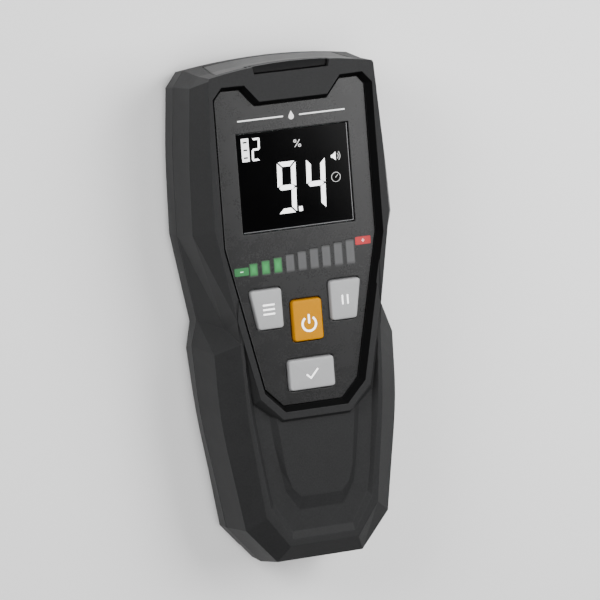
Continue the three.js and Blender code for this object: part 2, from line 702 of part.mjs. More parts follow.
const sideKeyY = fromTop(SIDE_KEY_DROP);
const sideKey = (side) => {
  const [foot, top] = [sideKeyY - SIDE_KEY_HEIGHT / 2, sideKeyY + SIDE_KEY_HEIGHT / 2];
  const outline = [
    [SIDE_KEY_INNER, foot],
    [SIDE_KEY_FOOT, foot],
    [SIDE_KEY_TOP, top],
    [SIDE_KEY_INNER, top],
  ];
  return side > 0 ? outline : outline.map(([x, y]) => [-x, y]).reverse();
};
const powerY = fromTop(POWER_KEY_DROP);
const setY = fromTop(SET_KEY_DROP);
const sideSwitchX = (SIDE_KEY_INNER + (SIDE_KEY_TOP + SIDE_KEY_FOOT) / 2) / 2;
const KEYS = [
  { name: 'mode', outline: sideKey(-1), at: [-sideSwitchX, sideKeyY], material: MATERIALS.key },
  { name: 'hold', outline: sideKey(1), at: [sideSwitchX, sideKeyY], material: MATERIALS.key },
  { name: 'power', outline: rectangle(POWER_KEY_WIDTH, POWER_KEY_HEIGHT, 0, powerY), at: [0, powerY],
    material: MATERIALS.powerKey },
  { name: 'set', outline: rectangle(SET_KEY_WIDTH, SET_KEY_HEIGHT, 0, setY), at: [0, setY],
    material: MATERIALS.key },
];

const barX = (i) => (i - (BAR_COUNT - 1) / 2) * BAR_PITCH;
const barHeight = (i) =>
  BAR_FIRST_HEIGHT + ((BAR_LAST_HEIGHT - BAR_FIRST_HEIGHT) * i) / (BAR_COUNT - 1);
const barFoot = fromTop(BAR_DROP);
const barOutline = (i, grow) =>
  rectangle(BAR_WIDTH + 2 * grow, barHeight(i) + 2 * grow, barX(i), barFoot + barHeight(i) / 2);

function controlPanel() {
  const plate = prism(panelOutline, PANEL_UNDER_Z, PANEL_Z);
  const window = rectangle(DISPLAY_WIDTH + 2 * GAP, DISPLAY_HEIGHT + 2 * GAP, 0, DISPLAY_Y);
  const keyHoles = KEYS.map((key) =>
    prism(offset(rounded(key.outline, KEY_CORNER), GAP), PANEL_UNDER_Z - 1, PANEL_Z + 1));
  const barSlots = Array.from({ length: BAR_COUNT }, (_, i) =>
    prism(barOutline(i, BAR_GAP), PANEL_UNDER_Z - 1, PANEL_Z + 1));
  return cut(plate, prism(window, PANEL_UNDER_Z - 1, PANEL_Z + 1), ...keyHoles, ...barSlots);
}

addPiece('control_panel', controlPanel(), MATERIALS.panel);

const keyTopZ = PANEL_Z + KEY_RISE;
const flangeTopZ = PANEL_UNDER_Z - GAP;
const flangeLowZ = flangeTopZ - KEY_FLANGE;
const switchZ = BOARD_TOP_Z + GAP;
const switchTopZ = switchZ + SWITCH_HEIGHT;
const plungerLowZ = switchZ + 1.3 + KEY_TRAVEL;
const plungerTopZ = switchTopZ + 1.2;
const stemLowZ = plungerTopZ + GAP;
const sealTopZ = switchTopZ + GAP + 0.6;

KEYS.forEach(({ name, outline, at: [x, y], material }) => {
  const side = rounded(outline, KEY_CORNER);
  const cap = loft([
    raise(side, flangeLowZ),
    raise(side, keyTopZ - 0.45),
    raise(offset(side, -0.15), keyTopZ - 0.15),
    raise(offset(side, -0.5), keyTopZ),
  ]);
  const flange = prism(offset(outline, KEY_FLANGE - GAP / 2), flangeLowZ, flangeTopZ);
  const stem = post(KEY_STEM_RADIUS, stemLowZ, flangeLowZ + 0.1, x, y, 12);
  addPiece(`${name}_key`, join(cap, flange, stem), material);
  const plunger = post(PLUNGER_RADIUS, plungerLowZ, plungerTopZ, x, y, 14);
  addPiece(`${name}_plunger`, plunger, MATERIALS.whitePlastic);
  const housing = prism(rectangle(SWITCH_SIZE, SWITCH_SIZE, x, y), switchZ, switchTopZ);
  const bore = post(PLUNGER_RADIUS + GAP, switchZ + 1, switchTopZ + 1, x, y, 14);
  addPiece(`${name}_switch`, cut(housing, bore), MATERIALS.chip);
});

/** Soft sheet over the switches that keeps dust off the board, with a hole for each key's stem. */
function keySeal() {
  const [top, foot] = [fromTop(BAR_DROP + 3), fromTop(103.9)];
  const outline = mirrored([
    [sideSwitchX + 5, top],
    [sideSwitchX + 5, sideKeyY - SWITCH_SIZE / 2],
    [KEYS[3].at[0] + 8, foot],
  ]);
  const holes = KEYS.map(({ at: [x, y] }) =>
    post(PLUNGER_RADIUS + 2 * GAP, switchTopZ, sealTopZ + 1, x, y, 14));
  return cut(prism(outline, switchTopZ + GAP, sealTopZ), ...holes);
}

addPiece('key_seal', keySeal(), MATERIALS.silicone);

// ---- Level bars ---------------------------------------------------------------------------------

const barFootZ = PANEL_UNDER_Z - BAR_REACH;
for (let i = 0; i < BAR_COUNT; i += 1) {
  const bar = prism(barOutline(i, 0), barFootZ, PANEL_Z - BAR_SINK);
  addPiece(`level_bar_${i + 1}`, bar, i < LIT_BARS ? MATERIALS.litBar : MATERIALS.dimBar);
}

function levelReflector() {
  const half = barX(BAR_COUNT - 1) + BAR_WIDTH / 2 + REFLECTOR_MARGIN;
  const body = block(
    [-half, barFoot - REFLECTOR_MARGIN, BOARD_TOP_Z + GAP],
    [half, barFoot + BAR_LAST_HEIGHT + REFLECTOR_MARGIN, barFootZ - GAP],
  );
  const pockets = Array.from({ length: BAR_COUNT }, (_, i) =>
    prism(barOutline(i, BAR_GAP), 0, PANEL_Z));
  return cut(body, ...pockets);
}

addPiece('level_reflector', levelReflector(), MATERIALS.whitePlastic);

// ---- Display ------------------------------------------------------------------------------------

const glassSize = [DISPLAY_WIDTH + 2 * GLASS_MARGIN, DISPLAY_HEIGHT + 2 * GLASS_MARGIN];
const glassOutline = rectangle(...glassSize, 0, DISPLAY_Y);
addPiece(
  'display_lens',
  prism(rectangle(DISPLAY_WIDTH, DISPLAY_HEIGHT, 0, DISPLAY_Y), PANEL_UNDER_Z, PANEL_Z - LENS_SINK),
  MATERIALS.lens,
);
addPiece('lcd_glass', prism(glassOutline, GLASS_TOP_Z - GLASS_THICKNESS, GLASS_TOP_Z), MATERIALS.glass);
addPiece(
  'lcd_backlight',
  prism(glassOutline, BACKLIGHT_TOP_Z - BACKLIGHT_THICKNESS, BACKLIGHT_TOP_Z),
  MATERIALS.backlight,
);

/** Tray round the display stack, open towards the top end where the ribbon leaves. */
function lcdFrame() {
  const inner = glassSize.map((size) => size + 2 * GAP);
  const tray = prism(trayOutline(), BOARD_TOP_Z + GAP, GLASS_TOP_Z - GAP);
  const room = prism(rectangle(...inner, 0, DISPLAY_Y), FRAME_FLOOR_Z, GLASS_TOP_Z + 1);
  const mouthHalf = RIBBON_WIDTH / 2 + 1;
  const mouth = block(
    [-mouthHalf, DISPLAY_Y, FRAME_FLOOR_Z],
    [mouthHalf, DISPLAY_Y + DISPLAY_HEIGHT, GLASS_TOP_Z + 1],
  );
  return cut(tray, room, mouth);
}

addPiece('lcd_frame', lcdFrame(), MATERIALS.whitePlastic);

/** Flat flexible cable from the LCD's edge down to the main board. */
function displayRibbon() {
  const edge = DISPLAY_Y + glassSize[1] / 2 + GAP;
  const [high, low] = [GLASS_TOP_Z - GLASS_THICKNESS / 2, BOARD_TOP_Z + GAP];
  const upper = [[edge, high], [edge + 2, high], [edge + 3.6, high - 1.2], [edge + 3.9, low + 1.2],
    [edge + 4.4, low + 0.4], [edge + 6, low + 0.4]];
  const lower = [[edge + 6, low], [edge + 4, low], [edge + 3.4, low + 1.2], [edge + 3.1, high - 1.4],
    [edge + 1.8, high - 0.4], [edge, high - 0.4]];
  const shape = new THREE.Shape([...upper, ...lower].map(([y, z]) => new THREE.Vector2(y, z)));
  const sheet = new THREE.ExtrudeGeometry(shape, { depth: RIBBON_WIDTH, bevelEnabled: false, steps: 1 });
  return toSolid(sheet.rotateX(Math.PI / 2).rotateZ(Math.PI / 2).translate(-RIBBON_WIDTH / 2, 0, 0));
}

addPiece('display_ribbon', displayRibbon(), MATERIALS.ribbon);

// ---- Main board and what it carries -------------------------------------------------------------

function mainBoard() {
  const outline = mirrored([
    [BOARD_HEAD_HALF, INNER_TOP_Y - 2 * GAP],
    [BOARD_HEAD_HALF, barFoot],
    [BOARD_TAIL_HALF, setY + 6],
    [BOARD_TAIL_HALF, fromTop(112.4)],
  ]);
  const chips = Array.from({ length: BAR_COUNT }, (_, i) => {
    const [x, y] = [barX(i), barFoot + barHeight(i) / 2];
    return block(
      [x - LAMP_SIZE / 2, y - LAMP_SIZE / 2, BOARD_TOP_Z - 0.1],
      [x + LAMP_SIZE / 2, y + LAMP_SIZE / 2, BOARD_TOP_Z + LAMP_HEIGHT],
    );
  });
  const holes = boardScrews.map(([x, y]) =>
    post(SCREW_SHANK + GAP, BOARD_Z - 1, BOARD_TOP_Z + 1, x, y, 12));
  return cut(join(prism(outline, BOARD_Z, BOARD_TOP_Z), ...chips), ...holes);
}

addPiece('main_board', mainBoard(), MATERIALS.board);

const underBoardZ = BOARD_Z - GAP;
const processorOutline = rectangle(PROCESSOR_SIZE, PROCESSOR_SIZE, 0, DISPLAY_Y - PROCESSOR_DROP);
addPiece(
  'processor',
  prism(processorOutline, underBoardZ - PROCESSOR_THICKNESS, underBoardZ),
  MATERIALS.chip,
);
addPiece(
  'buzzer',
  turned([[0, 0], [BUZZER_RADIUS, 0], [BUZZER_RADIUS, BUZZER_HEIGHT], [BUZZER_HOLE, BUZZER_HEIGHT],
    [BUZZER_HOLE, BUZZER_HEIGHT - 2], [0, BUZZER_HEIGHT - 2]], 24),
  MATERIALS.chip,
  [-2 * BUZZER_RADIUS, DISPLAY_Y + 8, underBoardZ - BUZZER_HEIGHT],
);
addPiece(
  'alert_led',
  block(
    [ALERT_LED_X - ALERT_LED_HALF, INNER_TOP_Y - 3.6, BOARD_TOP_Z + GAP],
    [ALERT_LED_X + ALERT_LED_HALF, INNER_TOP_Y - 1, CEILING_Z + 0.6],
  ),
  MATERIALS.whitePlastic,
);

const leadX = PAD_WIDTH / 2 - 7;
const leadFootY = PAD_Y - 6;
addPiece(
  'sensor_lead',
  wire(
    [
      [leadX, leadFootY, sensorBoardZ + BOARD_THICKNESS + 2 * GAP],
      [leadX, leadFootY + 1, sensorBoardZ + BOARD_THICKNESS + 4],
      [leadX + 2, leadFootY + 6, (sensorBoardZ + underBoardZ) / 2],
      [leadX + 2, leadFootY + 10, underBoardZ - 3],
      [leadX + 2, leadFootY + 10, underBoardZ],
    ],
    SENSOR_LEAD_RADIUS,
    8,
    16,
  ),
  MATERIALS.lead,
);

// ---- Batteries ----------------------------------------------------------------------------------

function batteryHolder() {
  const box = block(
    [-holderHalf, holderStart, lipHighZ + 2 * GAP],
    [holderHalf, holderEnd, holderTopZ],
  );
  const room = block(
    [-holderHalf + HOLDER_WALL, holderStart + HOLDER_WALL, 0],
    [holderHalf - HOLDER_WALL, holderEnd - HOLDER_WALL, holderTopZ - HOLDER_WALL],
  );
  const screwdriverHole = post(SCREW_HEAD + GAP, cellZ, holderTopZ + 1, ...boardScrews[1]);
  return cut(box, room, screwdriverHole);
}

addPiece('battery_holder', batteryHolder(), MATERIALS.holder);

const contactY = holderStart + HOLDER_WALL + GAP;
const cellY = contactY + CONTACT_THICKNESS + GAP;
const springY = cellY + CELL_LENGTH + GAP;
const cellProfile = [[0, 0], [1.9, 0], [1.9, 0.9], [4.4, 0.9], [CELL_DIAMETER / 2, 1.7],
  [CELL_DIAMETER / 2, CELL_LENGTH - 0.6], [4.4, CELL_LENGTH], [0, CELL_LENGTH]];

/** A tapering coil, widest at its foot, with its wire ends left blunt. */
function coil() {
  const perTurn = 8;
  const count = SPRING_TURNS * perTurn;
  const points = Array.from({ length: count + 1 }, (_, i) => {
    const share = i / count;
    const angle = (i / perTurn) * Math.PI * 2;
    const radius = SPRING_HEAD + (SPRING_FOOT - SPRING_HEAD) * share;
    return [Math.cos(angle) * radius, 0.4 + share * (SPRING_LENGTH - 0.8), Math.sin(angle) * radius];
  });
  return wire(points, SPRING_WIRE, 5, SPRING_TURNS * 12);
}

for (let i = 0; i < CELL_COUNT; i += 1) {
  const x = (i - (CELL_COUNT - 1) / 2) * cellPitch;
  const cell = turned(cellProfile, 24).rotateX(-Math.PI / 2);
  addPiece(`cell_${i + 1}`, cell, MATERIALS.cell, [x, cellY, cellZ]);
  addPiece(`cell_spring_${i + 1}`, coil(), MATERIALS.steel, [x, springY, cellZ]);
  const contact = block(
    [x - CONTACT_HALF, contactY, cellZ - CONTACT_HALF],
    [x + CONTACT_HALF, contactY + CONTACT_THICKNESS, cellZ + CONTACT_HALF],
  );
  addPiece(`cell_contact_${i + 1}`, contact, MATERIALS.steel);
}

['battery_lead_red', 'battery_lead_black'].forEach((name, i) => {
  const x = i === 0 ? -BATTERY_LEAD_X : BATTERY_LEAD_X;
  const start = holderEnd + GAP + 0.4;
  addPiece(
    name,
    wire(
      [
        [x, start, holderTopZ - 3],
        [x, start + 2, holderTopZ - 2.6],
        [x, start + 4, (holderTopZ + underBoardZ) / 2 - GAP],
        [x, start + 4, underBoardZ - 2 * GAP],
      ],
      BATTERY_LEAD_RADIUS,
      8,
      10,
    ),
    i === 0 ? MATERIALS.redLead : MATERIALS.lead,
  );
});

// ---- Fasteners ----------------------------------------------------------------------------------

/** A pan-head screw with a cross recess, its head down and its shank up from the head's seat. */
function screw(shank, head, headHeight, length) {
  const body = toSolid(turned(
    [[0, -headHeight], [head * 0.8, -headHeight], [head, -headHeight * 0.6], [head, 0], [shank, 0],
      [shank, length - shank], [shank * 0.4, length], [0, length]],
    16,
  ));
  const arm = head * 0.62;
  const blade = head * 0.14;
  const depth = headHeight * 0.6;
  return cut(
    body,
    block([-arm, -blade, -headHeight - 1], [arm, blade, -headHeight + depth]),
    block([-blade, -arm, -headHeight - 1], [blade, arm, -headHeight + depth]),
  );
}

caseScrews.forEach(([x, y], i) => {
  const solid = screw(SCREW_SHANK, SCREW_HEAD, SCREW_HEAD_HEIGHT, CASE_SCREW_LENGTH);
  addPiece(`case_screw_${i + 1}`, solid, MATERIALS.steel, [x, y, SEAM_Z - 5 - GAP]);
});
boardScrews.forEach(([x, y], i) => {
  const solid = screw(SCREW_SHANK, SCREW_HEAD, SCREW_HEAD_HEIGHT, BOARD_SCREW_LENGTH);
  addPiece(`board_screw_${i + 1}`, solid, MATERIALS.steel, [x, y, BOARD_Z - GAP]);
});

export default meter;
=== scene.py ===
"""A pinless moisture meter for floors, dressed over its CAD frame.

The meter lies on its back with its display end towards +Y. Sizes are in millimetres in the classes
and turned into metres where a mesh is made; places come from the boxes of the CAD nodes.
"""

import logging
import math
from dataclasses import dataclass, field
from enum import Enum
from functools import lru_cache
from typing import Sequence

import bmesh
import bpy
import numpy as np
from mathutils import Matrix, Vector


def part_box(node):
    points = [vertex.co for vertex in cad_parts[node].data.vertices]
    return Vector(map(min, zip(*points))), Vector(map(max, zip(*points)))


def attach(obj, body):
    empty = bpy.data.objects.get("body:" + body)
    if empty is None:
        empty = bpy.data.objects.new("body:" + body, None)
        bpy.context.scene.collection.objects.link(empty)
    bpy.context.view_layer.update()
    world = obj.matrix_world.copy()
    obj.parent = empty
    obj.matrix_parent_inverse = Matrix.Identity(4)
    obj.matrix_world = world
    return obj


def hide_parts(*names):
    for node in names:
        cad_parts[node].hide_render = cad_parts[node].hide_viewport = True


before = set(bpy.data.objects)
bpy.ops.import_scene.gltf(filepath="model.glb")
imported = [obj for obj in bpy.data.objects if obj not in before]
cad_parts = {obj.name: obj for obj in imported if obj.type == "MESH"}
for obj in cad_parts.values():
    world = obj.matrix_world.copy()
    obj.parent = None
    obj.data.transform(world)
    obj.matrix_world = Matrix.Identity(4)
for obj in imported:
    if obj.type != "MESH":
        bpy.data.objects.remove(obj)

LOG = logging.getLogger("moisture_meter")
MM = 0.001
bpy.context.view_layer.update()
HOUSING = "housing"
INK = 0.03
Colour = tuple[float, float, float]
Tint = Colour | bpy.types.NodeSocket
Value = float | bpy.types.NodeSocket
DUST: Colour = (0.07, 0.067, 0.062)


# ---- Node trees -----------------------------------------------------------------------------------


class Tree:
    """A shader node tree that is laid out one node at a time."""

    def __init__(self, tree: bpy.types.NodeTree) -> None:
        """Keeps the tree."""
        self.tree = tree

    def add(self, kind: str, inputs: dict | None = None, **settings: object) -> bpy.types.Node:
        """Adds a node.

        Args:
            kind: The node's type without its ShaderNode prefix.
            inputs: Values or output sockets for its inputs, by name or number.
            settings: Attributes set on the node itself.

        Returns:
            The new node.
        """
        prefix = "" if kind.startswith("Node") else "ShaderNode"
        node = self.tree.nodes.new(prefix + kind)
        node.location = (len(self.tree.nodes) * 190.0, 0.0)
        for name, value in settings.items():
            setattr(node, name, value)
        for key, value in (inputs or {}).items():
            if isinstance(value, bpy.types.NodeSocket):
                self.tree.links.new(value, node.inputs[key])
            else:
                node.inputs[key].default_value = value
        return node

    def maths(self, operation: str, *values: Value, clamp: bool = False) -> bpy.types.NodeSocket:
        """One Math node's result, from numbers or sockets."""
        node = self.add("Math", dict(enumerate(values)), operation=operation, use_clamp=clamp)
        return node.outputs[0]

    def scaled(self, colour: Tint, factor: Value) -> bpy.types.NodeSocket:
        """A colour multiplied by a number."""
        node = self.add("VectorMath", {0: colour, "Scale": factor}, operation="SCALE")
        return node.outputs[0]

    def mixed(self, factor: Value, low: Tint, high: Tint) -> bpy.types.NodeSocket:
        """Two colours mixed.

        Args:
            factor: Share of the second colour, 0 to 1.
            low: The first colour.
            high: The second colour.

        Returns:
            The mixed colour's socket.
        """
        node = self.add("Mix", data_type="RGBA", clamp_factor=True)
        for socket, value in ((node.inputs[0], factor), (node.inputs[6], low), (node.inputs[7], high)):
            if isinstance(value, bpy.types.NodeSocket):
                self.tree.links.new(value, socket)
            else:
                socket.default_value = (*value, 1.0) if isinstance(value, tuple) else value
        return node.outputs[2]

    def noise(
        self, coordinate: bpy.types.NodeSocket, scale: Value, detail: float = 2.0
    ) -> bpy.types.NodeSocket:
        """A noise pattern's value, about 0.5 on average; the scale is in features per metre."""
        inputs = {"Vector": coordinate, "Scale": scale, "Detail": detail, "Roughness": 0.55}
        return self.add("TexNoise", inputs).outputs[0]


def new_group(
    name: str, inputs: dict[str, tuple[str, object]], outputs: dict[str, str]
) -> tuple[bpy.types.NodeTree, Tree, bpy.types.Node, bpy.types.Node]:
    """Starts a shader node group.

    Args:
        name: The group's name.
        inputs: Socket kind and default value by name.
        outputs: Socket kind by name.

    Returns:
        The group, its Tree, its input node and its output node.
    """
    group = bpy.data.node_groups.new(name, "ShaderNodeTree")
    for label, (kind, default) in inputs.items():
        socket = group.interface.new_socket(label, in_out="INPUT", socket_type=f"NodeSocket{kind}")
        socket.default_value = default
    for label, kind in outputs.items():
        group.interface.new_socket(label, in_out="OUTPUT", socket_type=f"NodeSocket{kind}")
    tree = Tree(group)
    return group, tree, tree.add("NodeGroupInput"), tree.add("NodeGroupOutput")


@lru_cache
def grain_group() -> bpy.types.NodeTree:
    """Moulded grain: a fine speckle over a broad, faint mottle, both fixed to the piece.

    Returns:
        The group, with Colour, Roughness and Height outputs.
    """
    group, tree, given, out = new_group(
        "Moulded grain",
        {
            "Colour": ("Color", (0.1, 0.1, 0.1, 1.0)),
            "Mottle": ("Float", 0.1),
            "Speckle": ("Float", 0.2),
            "Roughness": ("Float", 0.5),
            "Spread": ("Float", 0.1),
            "Grain": ("Float", 1500.0),
        },
        {"Colour": "Color", "Roughness": "Float", "Height": "Float"},
    )
    place = tree.add("TexCoord").outputs["Object"]
    fine = tree.add(
        "TexNoise",
        {"Vector": place, "Scale": given.outputs["Grain"], "Detail": 3.0, "Roughness": 0.6},
    ).outputs[0]
    broad = tree.noise(place, 38.0, 3.0)
    blotch = tree.noise(place, 170.0, 2.0)
    speckle = tree.maths("MULTIPLY", tree.maths("SUBTRACT", fine, 0.5), given.outputs["Speckle"])
    drift = tree.maths("SUBTRACT", tree.maths("ADD", broad, blotch), 1.0)
    mottle = tree.maths("MULTIPLY", drift, given.outputs["Mottle"])
    factor = tree.maths("ADD", tree.maths("ADD", speckle, mottle), 1.0)
    links = group.links
    links.new(tree.scaled(given.outputs["Colour"], factor), out.inputs["Colour"])
    wander = tree.maths("MULTIPLY", tree.maths("ADD", tree.maths("SUBTRACT", fine, 0.5), drift),
                        given.outputs["Spread"])
    links.new(tree.maths("ADD", given.outputs["Roughness"], wander, clamp=True), out.inputs["Roughness"])
    links.new(fine, out.inputs["Height"])
    return group


@lru_cache
def edge_group() -> bpy.types.NodeTree:
    """Soft edges: the normal rounded over a radius, and a mask that is 1 where an edge turns; the mask
    lightens edges, partly as wear and partly as a painted highlight.

    Returns:
        The group, with Normal and Mask outputs.
    """
    group, tree, given, out = new_group(
        "Soft edges",
        {"Radius": ("Float", 0.0004), "Wear and highlight": ("Float", 1.0)},
        {"Normal": "Vector", "Mask": "Float"},
    )
    rounded = tree.add("Bevel", {"Radius": given.outputs["Radius"]}, samples=6).outputs[0]
    flat = tree.add("NewGeometry").outputs["Normal"]
    along = tree.add("VectorMath", {0: rounded, 1: flat}, operation="DOT_PRODUCT").outputs["Value"]
    turn = tree.maths("MULTIPLY", tree.maths("SUBTRACT", 1.0, along), 7.0, clamp=True)
    place = tree.add("TexCoord").outputs["Object"]
    patches = tree.maths("ADD", tree.noise(place, 210.0), 0.25, clamp=True)
    mask = tree.maths("MULTIPLY", tree.maths("MULTIPLY", turn, patches), given.outputs["Wear and highlight"], clamp=True)
    group.links.new(rounded, out.inputs["Normal"])
    group.links.new(mask, out.inputs["Mask"])
    return group


@lru_cache
def dust_group() -> bpy.types.NodeTree:
    """Dust in corners: a mask that grows where the surface is closed in.

    Returns:
        The group, with a Mask output.
    """
    group, tree, given, out = new_group(
        "Corner dust", {"Reach": ("Float", 0.002), "Amount": ("Float", 0.3)}, {"Mask": "Float"}
    )
    closed = tree.add("AmbientOcclusion", {"Distance": given.outputs["Reach"]}, samples=6).outputs["AO"]
    place = tree.add("TexCoord").outputs["Object"]
    patches = tree.maths("MULTIPLY", tree.noise(place, 320.0, 4.0), 1.6, clamp=True)
    depth = tree.maths("SUBTRACT", 1.0, closed)
    patched = tree.maths("MULTIPLY", depth, patches)
    mask = tree.maths("MULTIPLY", patched, given.outputs["Amount"], clamp=True)
    group.links.new(mask, out.inputs["Mask"])
    return group


def new_material(name: str) -> tuple[bpy.types.Material, Tree, bpy.types.Node]:
    """A material with a bare Principled shader.

    Args:
        name: The material's name.

    Returns:
        The material, its Tree and its Principled node.
    """
    material = bpy.data.materials.new(name)
    material.use_nodes = True
    material.node_tree.nodes.clear()
    tree = Tree(material.node_tree)
    shader = tree.add("BsdfPrincipled")
    tree.add("OutputMaterial", {"Surface": shader.outputs[0]})
    return material, tree, shader


# ---- Finishes ---------------------------------------------------------------------------------------


@dataclass(frozen=True)
class Moulding:
    """Moulded plastic or rubber: fine grain, faint mottle, soft edges lightened partly by wear and partly
    by a painted highlight, a little dust.
    """

    name: str
    colour: Colour
    roughness: float = 0.5
    mottle: float = 0.12
    speckle: float = 0.22
    spread: float = 0.1
    grain: float = 1500.0
    relief: float = 0.12
    edge: float = 0.35
    # The next two lighten the edges: partly wear, partly a painted highlight.
    wear_and_highlight: float = 0.5
    wear_and_highlight_lift: float = 1.7
    dust: float = 0.2
    specular: float = 0.5
    coat: float = 0.0

    def make(self) -> bpy.types.Material:
        """Builds the material.

        Returns:
            The material.
        """
        material, tree, shader = new_material(self.name)
        grain = tree.add("Group", node_tree=grain_group())
        for label, value in (("Mottle", self.mottle), ("Speckle", self.speckle), ("Grain", self.grain),
                             ("Roughness", self.roughness), ("Spread", self.spread)):
            grain.inputs[label].default_value = value
        grain.inputs["Colour"].default_value = (*self.colour, 1.0)
        edges = tree.add("Group", {}, node_tree=edge_group())
        edges.inputs["Radius"].default_value = self.edge * MM
        edges.inputs["Wear and highlight"].default_value = self.wear_and_highlight
        dust = tree.add("Group", {}, node_tree=dust_group())
        dust.inputs["Amount"].default_value = self.dust
        # Lighter colour at the edges: partly wear, partly a painted highlight where edges catch the light.
        worn_and_lit_edge = tuple(min(1.0, channel * self.wear_and_highlight_lift + 0.01) for channel in self.colour)
        colour = tree.mixed(edges.outputs["Mask"], grain.outputs["Colour"], worn_and_lit_edge)
        colour = tree.mixed(dust.outputs["Mask"], colour, DUST)
        bump = tree.add(
            "Bump",
            {"Strength": self.relief, "Distance": 0.0002, "Height": grain.outputs["Height"],
             "Normal": edges.outputs["Normal"]},
        )
        links = material.node_tree.links
        links.new(colour, shader.inputs["Base Color"])
        links.new(grain.outputs["Roughness"], shader.inputs["Roughness"])
        links.new(bump.outputs[0], shader.inputs["Normal"])
        shader.inputs["Specular IOR Level"].default_value = self.specular
        shader.inputs["Coat Weight"].default_value = self.coat
        shader.inputs["Coat Roughness"].default_value = 0.25
        return material


@dataclass(frozen=True)
class BlackGloss:
    """Polished dark sheet over the display: near black, with the faintest smears."""

    name: str
    colour: Colour = (0.0006, 0.0006, 0.0007)
    roughness: float = 0.12
    specular: float = 0.05

    def make(self) -> bpy.types.Material:
        """Builds the material.

        Returns:
            The material.
        """
        material, tree, shader = new_material(self.name)
        place = tree.add("TexCoord").outputs["Object"]
        smear = tree.noise(place, 60.0, 4.0)
        haze = tree.maths("ADD", tree.maths("MULTIPLY", smear, 0.08), self.roughness - 0.04)
        tint = tree.mixed(smear, self.colour, tuple(channel * 2.2 for channel in self.colour))
        material.node_tree.links.new(tint, shader.inputs["Base Color"])
        material.node_tree.links.new(haze, shader.inputs["Roughness"])
        shader.inputs["Specular IOR Level"].default_value = self.specular
        return material


@dataclass(frozen=True)
class Ink:
    """Printed ink: slightly uneven cover over the plastic beneath it; its glow is the backlight's light on
    the display's marks and painted light on inks printed on the panel and keys.
    """

    name: str
    colour: Colour
    glow: float = 0.0
    roughness: float = 0.5

    def make(self) -> bpy.types.Material:
        """Builds the material.

        Returns:
            The material.
        """
        material, tree, shader = new_material(self.name)
        place = tree.add("TexCoord").outputs["Object"]
        cover = tree.noise(place, 2600.0, 3.0)
        thin = tuple(channel * 0.86 for channel in self.colour)
        colour = tree.mixed(cover, thin, self.colour)
        bump = tree.add("Bump", {"Strength": 0.08, "Distance": 0.0001, "Height": cover})
        links = material.node_tree.links
        links.new(colour, shader.inputs["Base Color"])
        links.new(bump.outputs[0], shader.inputs["Normal"])
        shader.inputs["Roughness"].default_value = self.roughness
        # Glow: backlight for marks on the display, painted light for inks printed on the panel and keys.
        if self.glow:
            links.new(colour, shader.inputs["Emission Color"])
            shader.inputs["Emission Strength"].default_value = self.glow
        return material


@dataclass(frozen=True)
class LightPipe:
    """Translucent bar of the level row, brightest in its middle when lit; reads the bar's own UV map."""

    name: str
    rim: Colour
    heart: Colour
    glow: float = 0.0
    surround: Colour = (0.0165, 0.0167, 0.0172)

    def make(self) -> bpy.types.Material:
        """Builds the material.

        Returns:
            The material.
        """
        material, tree, shader = new_material(self.name)
        where = tree.add("SeparateXYZ", {0: tree.add("UVMap").outputs[0]})
        sides = [
            tree.maths("MULTIPLY", tree.maths("ABSOLUTE", tree.maths("SUBTRACT", axis, 0.5)), 2.0)
            for axis in (where.outputs[0], where.outputs[1])
        ]
        far = tree.maths("POWER", tree.maths("MAXIMUM", *sides), 1.3)
        frost = tree.noise(tree.add("TexCoord").outputs["Object"], 1900.0, 3.0)
        haze = tree.maths("MULTIPLY", tree.maths("SUBTRACT", frost, 0.5), 0.3)
        fade = tree.maths("ADD", far, haze, clamp=True)
        colour = tree.mixed(fade, self.heart, self.rim)
        border = tree.add("MapRange", {"Value": tree.maths("MAXIMUM", *sides), "From Min": 0.72},
                          interpolation_type="SMOOTHSTEP").outputs[0]
        colour = tree.mixed(border, colour, self.surround)
        links = material.node_tree.links
        links.new(colour, shader.inputs["Base Color"])
        bump = tree.add("Bump", {"Strength": 0.1, "Distance": 0.0001, "Height": frost})
        links.new(bump.outputs[0], shader.inputs["Normal"])
        shader.inputs["Roughness"].default_value = 0.32
        if self.glow:
            links.new(colour, shader.inputs["Emission Color"])
            shader.inputs["Emission Strength"].default_value = self.glow
        return material


@dataclass(frozen=True)
class Metal:
    """Plated or bare metal with fine drawn lines and slight tarnish."""

    name: str
    colour: Colour
    roughness: float = 0.3
    tarnish: Colour = (0.25, 0.22, 0.18)

    def make(self) -> bpy.types.Material:
        """Builds the material.

        Returns:
            The material.
        """
        material, tree, shader = new_material(self.name)
        place = tree.add("TexCoord").outputs["Object"]
        drawn = tree.add("Mapping", {"Vector": place, "Scale": (1.0, 14.0, 1.0)}).outputs[0]
        lines = tree.noise(drawn, 900.0, 3.0)
        stain = tree.maths("MULTIPLY", tree.noise(place, 160.0, 4.0), 0.45)
        colour = tree.mixed(stain, self.colour, self.tarnish)
        rough = tree.maths("ADD", tree.maths("MULTIPLY", lines, 0.2), self.roughness - 0.1, clamp=True)
        edges = tree.add("Group", {}, node_tree=edge_group())
        edges.inputs["Radius"].default_value = 0.15 * MM
        bump = tree.add("Bump", {"Strength": 0.12, "Distance": 0.0001, "Height": lines,
                                 "Normal": edges.outputs["Normal"]})
        links = material.node_tree.links
        links.new(colour, shader.inputs["Base Color"])
        links.new(rough, shader.inputs["Roughness"])
        links.new(bump.outputs[0], shader.inputs["Normal"])
        shader.inputs["Metallic"].default_value = 1.0
        return material


